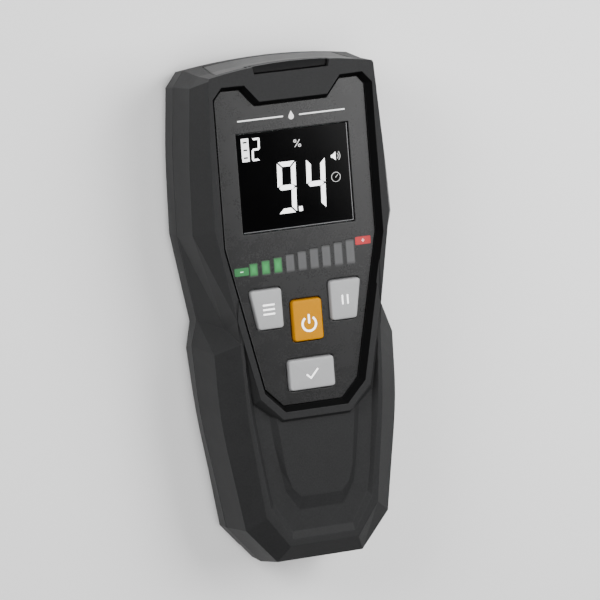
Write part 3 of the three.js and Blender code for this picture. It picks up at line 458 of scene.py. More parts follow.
@dataclass(frozen=True)
class BoardLacquer:
    """Green solder mask over copper tracks that run in two directions."""

    name: str
    mask: Colour = (0.012, 0.11, 0.045)
    track: Colour = (0.03, 0.2, 0.085)

    def make(self) -> bpy.types.Material:
        """Builds the material.

        Returns:
            The material.
        """
        material, tree, shader = new_material(self.name)
        place = tree.add("TexCoord").outputs["Object"]
        cells = tree.add("TexBrick", {"Vector": place, "Scale": 420.0, "Mortar Size": 0.03,
                                      "Color1": (0, 0, 0, 1), "Color2": (0, 0, 0, 1),
                                      "Mortar": (1, 1, 1, 1)}).outputs[0]
        broken = tree.maths("GREATER_THAN", tree.noise(place, 260.0), 0.5)
        tracks = tree.maths("MULTIPLY", cells, broken)
        colour = tree.mixed(tracks, self.mask, self.track)
        bump = tree.add("Bump", {"Strength": 0.25, "Distance": 0.0001, "Height": tracks})
        links = material.node_tree.links
        links.new(colour, shader.inputs["Base Color"])
        links.new(bump.outputs[0], shader.inputs["Normal"])
        shader.inputs["Roughness"].default_value = 0.3
        shader.inputs["Coat Weight"].default_value = 0.4
        return material


@dataclass(frozen=True)
class CellSleeve:
    """A battery cell's printed sleeve with a contrasting band at one end and bare metal ends."""

    name: str
    start: float
    length: float
    sleeve: Colour = (0.03, 0.1, 0.2)
    band: Colour = (0.62, 0.36, 0.1)

    def make(self) -> bpy.types.Material:
        """Builds the material.

        Returns:
            The material.
        """
        material, tree, shader = new_material(self.name)
        place = tree.add("TexCoord").outputs["Object"]
        along = tree.add("SeparateXYZ", {0: place}).outputs[1]
        share = tree.maths("DIVIDE", tree.maths("SUBTRACT", along, self.start), self.length)
        in_band = tree.maths("LESS_THAN", share, 0.3)
        cap = tree.maths("LESS_THAN", share, 0.035)
        foot = tree.maths("GREATER_THAN", share, 0.985)
        bare = tree.maths("ADD", cap, foot, clamp=True)
        rub = tree.noise(place, 420.0, 4.0)
        printed = tree.mixed(in_band, self.sleeve, self.band)
        printed = tree.mixed(tree.maths("MULTIPLY", rub, 0.35), printed, (0.3, 0.3, 0.3))
        colour = tree.mixed(bare, printed, (0.6, 0.6, 0.6))
        links = material.node_tree.links
        links.new(colour, shader.inputs["Base Color"])
        links.new(bare, shader.inputs["Metallic"])
        links.new(tree.maths("ADD", tree.maths("MULTIPLY", rub, 0.2), 0.22), shader.inputs["Roughness"])
        return material


@dataclass(frozen=True)
class ClearGlass:
    """Polished glass of the liquid-crystal cell, faintly tinted by its polariser."""

    name: str
    colour: Colour = (0.62, 0.68, 0.66)

    def make(self) -> bpy.types.Material:
        """Builds the material.

        Returns:
            The material.
        """
        material, tree, shader = new_material(self.name)
        film = tree.noise(tree.add("TexCoord").outputs["Object"], 90.0, 3.0)
        tint = tree.mixed(film, self.colour, tuple(channel * 0.9 for channel in self.colour))
        links = material.node_tree.links
        links.new(tint, shader.inputs["Base Color"])
        links.new(tree.maths("MULTIPLY", film, 0.06), shader.inputs["Roughness"])
        shader.inputs["Transmission Weight"].default_value = 0.9
        shader.inputs["IOR"].default_value = 1.5
        return material


@dataclass(frozen=True)
class StudioFloor:
    """Pale matt sweep under the meter."""

    name: str
    colour: Colour

    def make(self) -> bpy.types.Material:
        """Builds the material.

        Returns:
            The material.
        """
        material, tree, shader = new_material(self.name)
        cloth = tree.noise(tree.add("TexCoord").outputs["Object"], 30.0, 3.0)
        shade = tuple(channel * 0.985 for channel in self.colour)
        material.node_tree.links.new(tree.mixed(cloth, shade, self.colour), shader.inputs["Base Color"])
        shader.inputs["Roughness"].default_value = 0.9
        shader.inputs["Specular IOR Level"].default_value = 0.1
        return material


class Finish(Enum):
    """Every finish of the meter that takes no place of its own."""

    SHELL = Moulding("Case plastic", (0.0215, 0.0217, 0.0222), roughness=0.5, specular=0.07, edge=0.4,
                     dust=0.03, speckle=0.45, relief=0.18, grain=1800.0)
    # Painted shade: a near-black material laid on the recess walls round the panel, where shade falls.
    RECESS_SHADE = Moulding("Recess wall painted shade", (0.0055, 0.0056, 0.0058), roughness=0.6, specular=0.03, edge=0.1,
                      dust=0.0)
    REAR_SHELL = Moulding("Rear case plastic", (0.0215, 0.0217, 0.0223), roughness=0.5, specular=0.08,
                          dust=0.08, speckle=0.4, grain=1800.0)
    CAP = Moulding("Top cap plastic", (0.0275, 0.0277, 0.0283), roughness=0.42, specular=0.1, speckle=0.35)
    SMOKED = Moulding("Smoked window", (0.006, 0.0061, 0.0065), roughness=0.4, speckle=0.05, relief=0.02,
                      specular=0.05)
    PANEL = Moulding("Panel plastic", (0.012, 0.0121, 0.0124), roughness=0.28, speckle=0.16, mottle=0.1,
                     relief=0.05, grain=2100.0, specular=0.31, wear_and_highlight=0.25, dust=0.06)
    KEY = Moulding("Key plastic", (0.32, 0.323, 0.328), roughness=0.42, speckle=0.08, mottle=0.05,
                   edge=0.2, wear_and_highlight=0.3, wear_and_highlight_lift=1.25, dust=0.2)
    POWER_KEY = Moulding("Power key plastic", (0.5, 0.205, 0.0), roughness=0.38, speckle=0.06, mottle=0.05,
                         specular=0.05, edge=0.2, wear_and_highlight=0.25, wear_and_highlight_lift=1.2, dust=0.03)
    PAD = Moulding("Sensor pad", (0.022, 0.0225, 0.024), roughness=0.35, speckle=0.12, wear_and_highlight=0.7)
    SILICONE = Moulding("Silicone seal", (0.03, 0.031, 0.033), roughness=0.75)
    WHITE_PLASTIC = Moulding("White plastic", (0.68, 0.69, 0.67), roughness=0.45, speckle=0.05, mottle=0.06,
                             wear_and_highlight_lift=1.1)
    BACKLIGHT = Moulding("Backlight diffuser", (0.8, 0.83, 0.85), roughness=0.35, speckle=0.03, mottle=0.04,
                         wear_and_highlight_lift=1.05)
    CHIP = Moulding("Black epoxy", (0.018, 0.018, 0.02), roughness=0.5, grain=3200.0, edge=0.12)
    LEAD = Moulding("Black lead", (0.02, 0.02, 0.022), roughness=0.45, edge=0.1)
    RED_LEAD = Moulding("Red lead", (0.42, 0.02, 0.02), roughness=0.4, edge=0.1, speckle=0.08)
    LENS = BlackGloss("Display sheet")
    DIGIT = Ink("Lit segments", (1.0, 1.0, 1.0), glow=1.9)
    TAG = Ink("Lit tag", (0.9, 0.9, 0.9), glow=0.9)
    FAINT = Ink("Dim display mark", (0.62, 0.62, 0.62), glow=0.35)
    # Painted highlight: light grey ink for the light caught along two edges of the display sheet.
    GLINT = Ink("Painted sheet edge highlight", (0.14, 0.14, 0.145), roughness=0.25)
    NOTE = Ink("Dark note ink", (0.004, 0.004, 0.004))
    # Painted light: the inks printed on the keys and the panel glow, though no lamp lights them.
    LEGEND = Ink("White legend ink with painted glow", (0.98, 0.98, 0.98), glow=1.7)
    TITLE = Ink("Pale panel ink with painted glow", (0.8, 0.8, 0.8), glow=0.5)
    DRY_PATCH = Ink("Green patch ink with painted glow", (0.0, 0.14, 0.024), glow=0.15)
    WET_PATCH = Ink("Red patch ink with painted glow", (0.42, 0.001, 0.006), glow=0.15)
    DRY_SIGN = Ink("Pale green ink with painted glow", (0.55, 0.85, 0.62), glow=0.3)
    WET_SIGN = Ink("Pale red ink with painted glow", (0.98, 0.6, 0.62), glow=0.3)
    LIT_BAR = LightPipe("Lit bar", (0.0, 0.085, 0.01), (0.02, 0.26, 0.06), glow=0.2)
    DIM_BAR = LightPipe("Unlit bar", (0.062, 0.063, 0.065), (0.054, 0.055, 0.057))
    STEEL = Metal("Plated steel", (0.6, 0.6, 0.61))
    COPPER = Metal("Copper foil", (0.72, 0.36, 0.18), tarnish=(0.2, 0.1, 0.05))
    BOARD = BoardLacquer("Board lacquer")
    GLASS = ClearGlass("Display glass")

    @property
    def material(self) -> bpy.types.Material:
        """The finish's material, built on first use."""
        return material_of(self)


@lru_cache(maxsize=None)
def material_of(finish: Finish) -> bpy.types.Material:
    """Builds a finish's material once."""
    return finish.value.make()


# ---- Surfaces ------------------------------------------------------------------------------------------


def rounded_outline(corners: Sequence[Sequence[float]], radius: float, steps: int = 5) -> np.ndarray:
    """Rounds every corner of a closed outline.

    Each corner becomes a quadratic curve between the two points that lie radius / tan(half its angle)
    along its sides, drawn with the corner as its middle control point.

    Args:
        corners: The outline's corners, counter-clockwise.
        radius: The rounding radius.
        steps: Chords in each corner.

    Returns:
        An (N, 2) array of points.
    """
    at = np.asarray(corners, float)
    back = np.roll(at, 1, 0) - at
    ahead = np.roll(at, -1, 0) - at
    back /= np.linalg.norm(back, axis=1, keepdims=True)
    ahead /= np.linalg.norm(ahead, axis=1, keepdims=True)
    half = np.arccos(np.clip((back * ahead).sum(1), -1, 1)) / 2
    reach = (radius / np.tan(half))[:, None]
    t = np.linspace(0, 1, steps + 1)[None, :, None]
    start, end = (at + back * reach)[:, None], (at + ahead * reach)[:, None]
    curve = (1 - t) ** 2 * start + 2 * t * (1 - t) * at[:, None] + t**2 * end
    return curve.reshape(-1, 2)


def moved_out(outline: np.ndarray, distance: float) -> np.ndarray:
    """A counter-clockwise outline moved outwards.

    Each point moves along the sum of its two sides' outward normals, by the distance divided by one
    plus their dot product, which keeps the sides parallel.

    Args:
        outline: An (N, 2) array.
        distance: How far the sides move; negative moves them inwards.

    Returns:
        The moved (N, 2) array.
    """
    side_in = outline - np.roll(outline, 1, 0)
    side_out = np.roll(outline, -1, 0) - outline
    normals = [np.stack((side[:, 1], -side[:, 0]), 1) / np.linalg.norm(side, axis=1, keepdims=True)
               for side in (side_in, side_out)]
    share = distance / (1 + (normals[0] * normals[1]).sum(1, keepdims=True))
    return outline + (normals[0] + normals[1]) * share


def rectangle(low: Sequence[float], high: Sequence[float]) -> np.ndarray:
    """The four corners of a rectangle, counter-clockwise."""
    return np.array([[low[0], low[1]], [high[0], low[1]], [high[0], high[1]], [low[0], high[1]]], float)


def at_height(outline: np.ndarray, height: float | np.ndarray) -> np.ndarray:
    """An (N, 2) outline as an (N, 3) ring."""
    return np.column_stack((outline, np.broadcast_to(height, len(outline))))


def new_piece(name: str, vertices: np.ndarray, faces: list, smooth_angle: float = 40.0) -> bpy.types.Object:
    """Makes an object from vertices in millimetres.

    Args:
        name: The object's name.
        vertices: An (N, 3) array in millimetres.
        faces: Lists of vertex numbers.
        smooth_angle: Edges that turn by more than this many degrees stay sharp.

    Returns:
        The object, with a UV map over its box seen from above.
    """
    mesh = bpy.data.meshes.new(name)
    mesh.from_pydata((vertices * MM).tolist(), [], faces)
    mesh.validate()
    loops = np.empty(len(mesh.loops), int)
    mesh.loops.foreach_get("vertex_index", loops)
    flat = vertices[:, :2]
    spread = np.maximum(flat.max(0) - flat.min(0), 1e-9)
    uv = ((flat - flat.min(0)) / spread)[loops]
    mesh.uv_layers.new(name="Piece").data.foreach_set("uv", uv.astype(np.float32).ravel())
    mesh.shade_smooth()
    mesh.set_sharp_from_angle(angle=math.radians(smooth_angle))
    piece = bpy.data.objects.new(name, mesh)
    bpy.context.scene.collection.objects.link(piece)
    return piece


def ring_skin(rings: np.ndarray) -> tuple[np.ndarray, list]:
    """A closed skin through rings of points, capped at both ends.

    Args:
        rings: An (R, N, 3) array, lowest ring first, each counter-clockwise from above.

    Returns:
        The (R * N, 3) vertices and the faces.
    """
    count, around = rings.shape[:2]
    number = np.arange(count * around).reshape(count, around)
    after = np.roll(number, -1, 1)
    sides = np.stack((number[:-1], after[:-1], after[1:], number[1:]), -1).reshape(-1, 4)
    caps = [number[0, ::-1].tolist(), number[-1].tolist()]
    return rings.reshape(-1, 3), sides.tolist() + caps


def slab(outline: np.ndarray, low: float, high: float, rounding: float = 0.0, steps: int = 4) -> np.ndarray:
    """Rings of a flat slab whose top edge is a quarter circle.

    Args:
        outline: The (N, 2) outline of its foot.
        low: Height of its foot.
        high: Height of its top.
        rounding: Radius of the top edge.
        steps: Chords in the quarter circle.

    Returns:
        An (R, N, 3) array of rings.
    """
    if rounding <= 0:
        return np.stack((at_height(outline, low), at_height(outline, high)))
    turn = np.linspace(0, math.pi / 2, steps + 1)
    inward = rounding * (1 - np.cos(turn))
    level = high - rounding + rounding * np.sin(turn)
    top = [at_height(moved_out(outline, -step), z) for step, z in zip(inward, level)]
    return np.stack([at_height(outline, low), *top])


def carry_over(
    node: str, name: str, bevel: float = 0.0, segments: int = 2, angle: float = 28.0
) -> bpy.types.Object:
    """A copy of a CAD node with its triangles merged into clean faces and its edges rounded.

    Args:
        node: The CAD node.
        name: The copy's name.
        bevel: Width of the rounding in millimetres; 0 leaves edges sharp.
        segments: Steps in the rounding.
        angle: Edges that turn by less than this many degrees aren't rounded.

    Returns:
        The copy.
    """
    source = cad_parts[node]
    copy = bpy.data.objects.new(name, source.data.copy())
    copy.data.name = name
    bpy.context.scene.collection.objects.link(copy)
    sheet = bmesh.new()
    sheet.from_mesh(copy.data)
    bmesh.ops.remove_doubles(sheet, verts=sheet.verts, dist=2e-6)
    bmesh.ops.dissolve_limit(sheet, angle_limit=math.radians(0.8), verts=sheet.verts, edges=sheet.edges)
    sheet.to_mesh(copy.data)
    sheet.free()
    copy.data.materials.clear()
    copy.data.shade_smooth()
    copy.data.set_sharp_from_angle(angle=math.radians(angle))
    if bevel:
        round_over = copy.modifiers.new("Rounded edges", "BEVEL")
        round_over.width = bevel * MM
        round_over.segments = segments
        round_over.limit_method = "ANGLE"
        round_over.angle_limit = math.radians(angle)
        round_over.harden_normals = True
        round_over.use_clamp_overlap = True
    return copy


def settle(
    piece: bpy.types.Object, finish: Finish, body: str, slot: str, *replaced: str
) -> bpy.types.Object:
    """Dresses a piece and hands it to the frame.

    Args:
        piece: The object.
        finish: Its finish.
        body: The CAD body it rides on.
        slot: A material slot's name; not used.
        replaced: CAD nodes it stands for.

    Returns:
        The piece.
    """
    piece.data.materials.clear()
    piece.data.materials.append(finish.material)
    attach(piece, body)
    if replaced:
        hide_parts(*replaced)
    LOG.info("%s on %s, %s", piece.name, body, finish.name.lower())
    return piece


def dress_node(node: str, finish: Finish) -> None:
    """Gives a carried-over CAD node its finish.

    Args:
        node: The CAD node.
        finish: Its finish.
    """
    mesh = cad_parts[node].data
    mesh.materials.clear()
    mesh.materials.append(finish.material)
    LOG.info("%s carried over, %s", node, finish.name.lower())


def box_mm(node: str) -> tuple[np.ndarray, np.ndarray]:
    """Measures a CAD node.

    Args:
        node: The CAD node.

    Returns:
        Its lowest and highest corners, in millimetres.
    """
    low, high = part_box(node)
    return np.array(low) / MM, np.array(high) / MM


def middle_mm(node: str) -> np.ndarray:
    """Middle of a CAD node's box, in millimetres."""
    low, high = box_mm(node)
    return (low + high) / 2


def outline_points(node: str, level: float, steps: int = 24) -> np.ndarray:
    """Points evenly spread along the edges of a CAD node that lie at one height.

    Args:
        node: The CAD node.
        level: The height of the edges, in millimetres.
        steps: Points on each edge, its ends included.

    Returns:
        An (N, 2) array in millimetres.
    """
    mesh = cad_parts[node].data
    at = np.empty(len(mesh.vertices) * 3)
    mesh.vertices.foreach_get("co", at)
    at = at.reshape(-1, 3) / MM
    ends = np.empty(len(mesh.edges) * 2, int)
    mesh.edges.foreach_get("vertices", ends)
    ends = ends.reshape(-1, 2)
    ends = ends[np.all(np.abs(at[ends, 2] - level) < 0.05, axis=1)]
    share = np.linspace(0, 1, steps)[:, None]
    return (at[ends[:, None, 0], :2] * (1 - share) + at[ends[:, None, 1], :2] * share).reshape(-1, 2)


Path = tuple[tuple[float, float], ...]


def small_ring(x: float, y: float, radius: float, sides: int = 12) -> Path:
    """A closed round path in the unit box of a sign: the cosine and sine of a full turn.

    Args:
        x: Its middle across.
        y: Its middle up.
        radius: Its radius.
        sides: Its chords.

    Returns:
        The path's points, the first again at the end.
    """
    turn = np.linspace(0, 2 * math.pi, sides + 1)
    return tuple(zip(x + radius * np.cos(turn), y + radius * np.sin(turn)))


class Sign(Enum):
    """Plain printed signs, each the middle lines of its strokes in a box from 0 to 1 both ways."""

    LIST = (((0, 0), (1, 0)), ((0, 0.5), (1, 0.5)), ((0, 1), (1, 1)))
    PAUSE = (((0, 0), (0, 1)), ((1, 0), (1, 1)))
    TICK = (((0, 0.45), (0.36, 0), (1, 1)),)
    MINUS = (((0, 0.5), (1, 0.5)),)
    PLUS = (((0, 0.5), (1, 0.5)), ((0.5, 0), (0.5, 1)))
    PERCENT = (((0.12, 0), (0.88, 1)), small_ring(0.17, 0.83, 0.17), small_ring(0.83, 0.17, 0.17))


def ribbon(path: np.ndarray, width: float, low: float, high: float) -> tuple[np.ndarray, list]:
    """A flat bar carried along a path.

    Each station's cross-section lies along the mean of its two sides' normals, lengthened by one over
    the cosine of half their turn, so the bar keeps its width round corners. A path that ends where it
    starts is closed on itself; any other is capped.

    Args:
        path: An (N, 2) array of points.
        width: Width of the bar.
        low: Height of its underside.
        high: Height of its top.

    Returns:
        Its vertices and faces.
    """
    closed = bool(np.allclose(path[0], path[-1]))
    steps = np.diff(path, axis=0)
    steps /= np.linalg.norm(steps, axis=1, keepdims=True)
    before = np.vstack((steps[-1:] if closed else steps[:1], steps))
    after = np.vstack((steps, steps[:1] if closed else steps[-1:]))
    left = [np.column_stack((-way[:, 1], way[:, 0])) for way in (before, after)]
    reach = (left[0] + left[1]) / np.maximum(1 + (left[0] * left[1]).sum(1, keepdims=True), 0.35)
    near, far = path - reach * width / 2, path + reach * width / 2
    corners = ((near, low), (far, low), (far, high), (near, high))
    rings = np.stack([at_height(side, height) for side, height in corners], 1)
    vertices, faces = ring_skin(rings)
    if not closed:
        return vertices, faces
    seam = len(vertices) - 4
    wrapped = [[number - seam if number >= seam else number for number in face] for face in faces[:-2]]
    return vertices[:seam], wrapped


def printed_sign(
    name: str,
    sign: Sign,
    width: float,
    height: float,
    centre: Sequence[float],
    level: float,
    stroke: float,
    depth: float = 0.04,
) -> bpy.types.Object:
    """A sign in ink, a bar carried along each of its strokes.

    Args:
        name: The piece's name.
        sign: Which sign it is.
        width: Width between the middles of its outer strokes.
        height: Height between them.
        centre: X and Y of its middle.
        level: Z of the face it is printed on.
        stroke: Width of the strokes.
        depth: Thickness of the ink.

    Returns:
        The piece.
    """
    vertices: list[np.ndarray] = []
    faces: list[list[int]] = []
    for line in sign.value:
        path = (np.asarray(line, float) - 0.5) * (width, height) + centre
        points, sides = ribbon(path, stroke, level, level + depth)
        first = sum(len(part) for part in vertices)
        faces += [[number + first for number in side] for side in sides]
        vertices.append(points)
    return new_piece(name, np.concatenate(vertices), faces)


# ---- Sub-assemblies -----------------------------------------------------------------------------------


@dataclass
class Case:
    """The two shells, the top cap, the dark window in the top end, and what closes the back."""

    edge: float = 0.42
    cap_edge: float = 0.3
    back_edge: float = 0.35
    crease: float = 10.0
    recess_reach: float = 1.6
    recess_slope: float = 0.8
    recess_drop: float = 1.0

    def build(self) -> None:
        """Makes the case's pieces."""
        plan = (
            ("front_shell", "front_case", self.edge, Finish.SHELL, HOUSING, "shell"),
            ("rear_shell", "rear_case", self.back_edge, Finish.REAR_SHELL, HOUSING, "shell"),
            ("top_cap", "top_end_cap", self.cap_edge, Finish.CAP, HOUSING, "cap"),
            ("alert_window", "alert_strip", 0.15, Finish.SMOKED, HOUSING, "window"),
            ("sensor_pad", "sensing_pad", 0.25, Finish.PAD, HOUSING, "pad"),
            ("battery_door", "battery_hatch", 0.25, Finish.REAR_SHELL, "battery_door", "shell"),
        )
        for node, name, width, finish, body, slot in plan:
            piece = settle(carry_over(node, name, width, angle=self.crease), finish, body, slot, node)
            if node == "front_shell":
                self.paint_recess_shade(piece)
        for number in range(1, 5):
            dress_node(f"case_screw_{number}", Finish.STEEL)

    def paint_recess_shade(self, piece: bpy.types.Object) -> None:
        """Paints shade on the walls round the sunken panel: a duller, darker material stands in for the
        shade that falls in the recess.

        A wall is a steep face that stands next to the panel's outline, no lower than the panel, and faces
        its middle.

        Args:
            piece: The front case.
        """
        mesh = piece.data
        # Second material: painted shade for the walls of the recess.
        mesh.materials.append(Finish.RECESS_SHADE.material)
        centres = np.empty(len(mesh.polygons) * 3)
        normals = np.empty(len(mesh.polygons) * 3)
        mesh.polygons.foreach_get("center", centres)
        mesh.polygons.foreach_get("normal", normals)
        centres = centres.reshape(-1, 3) / MM
        normals = normals.reshape(-1, 3)
        low, high = box_mm("control_panel")
        steep = np.abs(normals[:, 2]) < self.recess_slope
        inward = (normals[:, :2] * (centres[:, :2] - (low + high)[:2] / 2)).sum(1) < 0
        walls = steep & inward & (centres[:, 2] > high[2] - self.recess_drop)
        rim = outline_points("control_panel", high[2])
        apart = np.linalg.norm(centres[walls, None, :2] - rim[None], axis=2).min(1)
        walls[walls] = apart < self.recess_reach
        mesh.polygons.foreach_set("material_index", walls.astype(np.int32))


@dataclass
class ControlPanel:
    """The sunken panel and what is printed on it."""

    edge: float = 0.18
    patch_height: float = 2.4
    title_rise: float = 4.2
    title_half: float = 17.5
    rule: float = 0.42
    sign_size: float = 1.0

    def build(self) -> None:
        """Makes the panel, the drop mark above the display and the two end patches of the level row."""
        settle(carry_over("control_panel", "key_panel", self.edge), Finish.PANEL, HOUSING, "panel",
               "control_panel")
        self.face = box_mm("control_panel")[1][2]
        self.print_title()
        self.print_patches()

    def print_title(self) -> None:
        """Prints a water drop between two fine rules above the display."""
        centre_y = box_mm("display_lens")[1][1] + self.title_rise
        turn = np.linspace(0, 2 * math.pi, 40, endpoint=False)
        # A drop: a circle whose upper half is pulled up to a point by the fourth power of the sine.
        pull = np.clip(np.sin(turn), 0, 1) ** 4
        drop = np.column_stack((
            np.cos(turn) * 0.85 * (1 - 0.55 * pull),
            np.sin(turn) * 0.85 + 0.95 * pull + centre_y - 0.35,
        ))
        piece = new_piece("drop_mark", *ring_skin(slab(drop, self.face, self.face + 0.04)))
        settle(piece, Finish.TITLE, HOUSING, "panel")
        for side in (-1, 1):
            ends = sorted((side * 2.6, side * self.title_half))
            bar = rectangle((ends[0], centre_y - self.rule / 2), (ends[1], centre_y + self.rule / 2))
            name = "title_rule_left" if side < 0 else "title_rule_right"
            rings = slab(rounded_outline(bar, self.rule * 0.45), self.face, self.face + 0.04)
            settle(new_piece(name, *ring_skin(rings)), Finish.TITLE, HOUSING, "panel")

    def print_patches(self) -> None:
        """Prints the green patch with a minus and the red one with a plus at the ends of the level row."""
        first_low = box_mm("level_bar_1")[0]
        last_high = box_mm("level_bar_9")[1]
        plan = (
            ("dry_patch", Sign.MINUS, first_low[0] - 5.1, first_low[0] - 0.5, first_low[1] + 0.3,
             Finish.DRY_PATCH, Finish.DRY_SIGN),
            ("wet_patch", Sign.PLUS, last_high[0] + 0.8, last_high[0] + 5.8, last_high[1] - 1.7,
             Finish.WET_PATCH, Finish.WET_SIGN),
        )
        for name, sign, left, right, foot, patch, ink in plan:
            corners = rectangle((left, foot), (right, foot + self.patch_height))
            rings = slab(rounded_outline(corners, 0.3), self.face, self.face + INK)
            settle(new_piece(name, *ring_skin(rings)), patch, HOUSING, "panel")
            middle = ((left + right) / 2, foot + self.patch_height / 2)
            mark = printed_sign(name + "_sign", sign, self.sign_size, self.sign_size, middle,
                                self.face + INK, 0.3)
            settle(mark, ink, HOUSING, "panel")


class Segment(Enum):
    """The seven strokes of a digit: ends in half cells from the lower left, and whether it is upright."""

    TOP = (0, 2, False)
    UPPER_LEFT = (0, 1, True)
    UPPER_RIGHT = (1, 1, True)
    MIDDLE = (0, 1, False)
    LOWER_LEFT = (0, 0, True)
    LOWER_RIGHT = (1, 0, True)
    BOTTOM = (0, 0, False)


DIGITS = {
    "9": ("TOP", "UPPER_LEFT", "UPPER_RIGHT", "MIDDLE", "LOWER_RIGHT", "BOTTOM"),
    "4": ("UPPER_LEFT", "UPPER_RIGHT", "MIDDLE", "LOWER_RIGHT"),
    "2": ("TOP", "UPPER_RIGHT", "MIDDLE", "LOWER_LEFT", "BOTTOM"),
}


@dataclass
class SegmentDigit:
    """One seven-segment digit, drawn in the plane of the display."""

    label: str
    figure: str
    left: float
    foot: float
    width: float
    height: float
    stroke: float
    gap: float = 0.34
    lean: float = 0.045

    def stroke_outline(self, segment: Segment) -> np.ndarray:
        """The outline of one stroke.

        A stroke is a bar whose inner side is shorter than its outer side by a stroke's width at each
        end, so that neighbours meet on a mitre; the middle stroke is a hexagon.

        Args:
            segment: Which stroke.

        Returns:
            An (N, 2) outline, counter-clockwise, in the digit's own upright frame.
        """
        column, row, upright = segment.value
        w, h, s, g = self.width, self.height, self.stroke, self.gap
        half = h / 2
        if not upright:
            if row == 1:
                y, k = half, s / 2
                return np.array([[g + k * 0.2, y], [g + k, y - k], [w - g - k, y - k], [w - g - k * 0.2, y],
                                 [w - g - k, y + k], [g + k, y + k]])
            if row == 0:
                return np.array([[g, 0], [w - g, 0], [w - g - s, s], [g + s, s]])
            return np.array([[g + s, h - s], [w - g - s, h - s], [w - g, h], [g, h]])
        low, high = row * half, (row + 1) * half
        outer_low = low + (g if row == 0 else g * 0.7)
        outer_high = high - (g if row == 1 else g * 0.7)
        inner_low = low + (g + s if row == 0 else g * 0.7 + s * 0.5)
        inner_high = high - (g + s if row == 1 else g * 0.7 + s * 0.5)
        bar = np.array([[0, outer_low], [s, inner_low], [s, inner_high], [0, outer_high]])
        if column:
            bar = np.column_stack((w - bar[:, 0], bar[:, 1]))[::-1]
        return bar

    def build(self, level: float, finish: Finish) -> None:
        """Makes the digit's strokes.

        Args:
            level: Height of the face they lie on.
            finish: Their ink.
        """
        for number, name in enumerate(DIGITS[self.figure]):
            outline = self.stroke_outline(Segment[name])
            leaning = outline + np.column_stack((outline[:, 1] * self.lean, np.zeros(len(outline))))
            placed = rounded_outline(leaning + (self.left, self.foot), 0.06, 2)
            rings = slab(placed, level, level + INK)
            piece = new_piece(f"{self.label}_stroke_{number + 1}", *ring_skin(rings))
            settle(piece, finish, HOUSING, "lens")


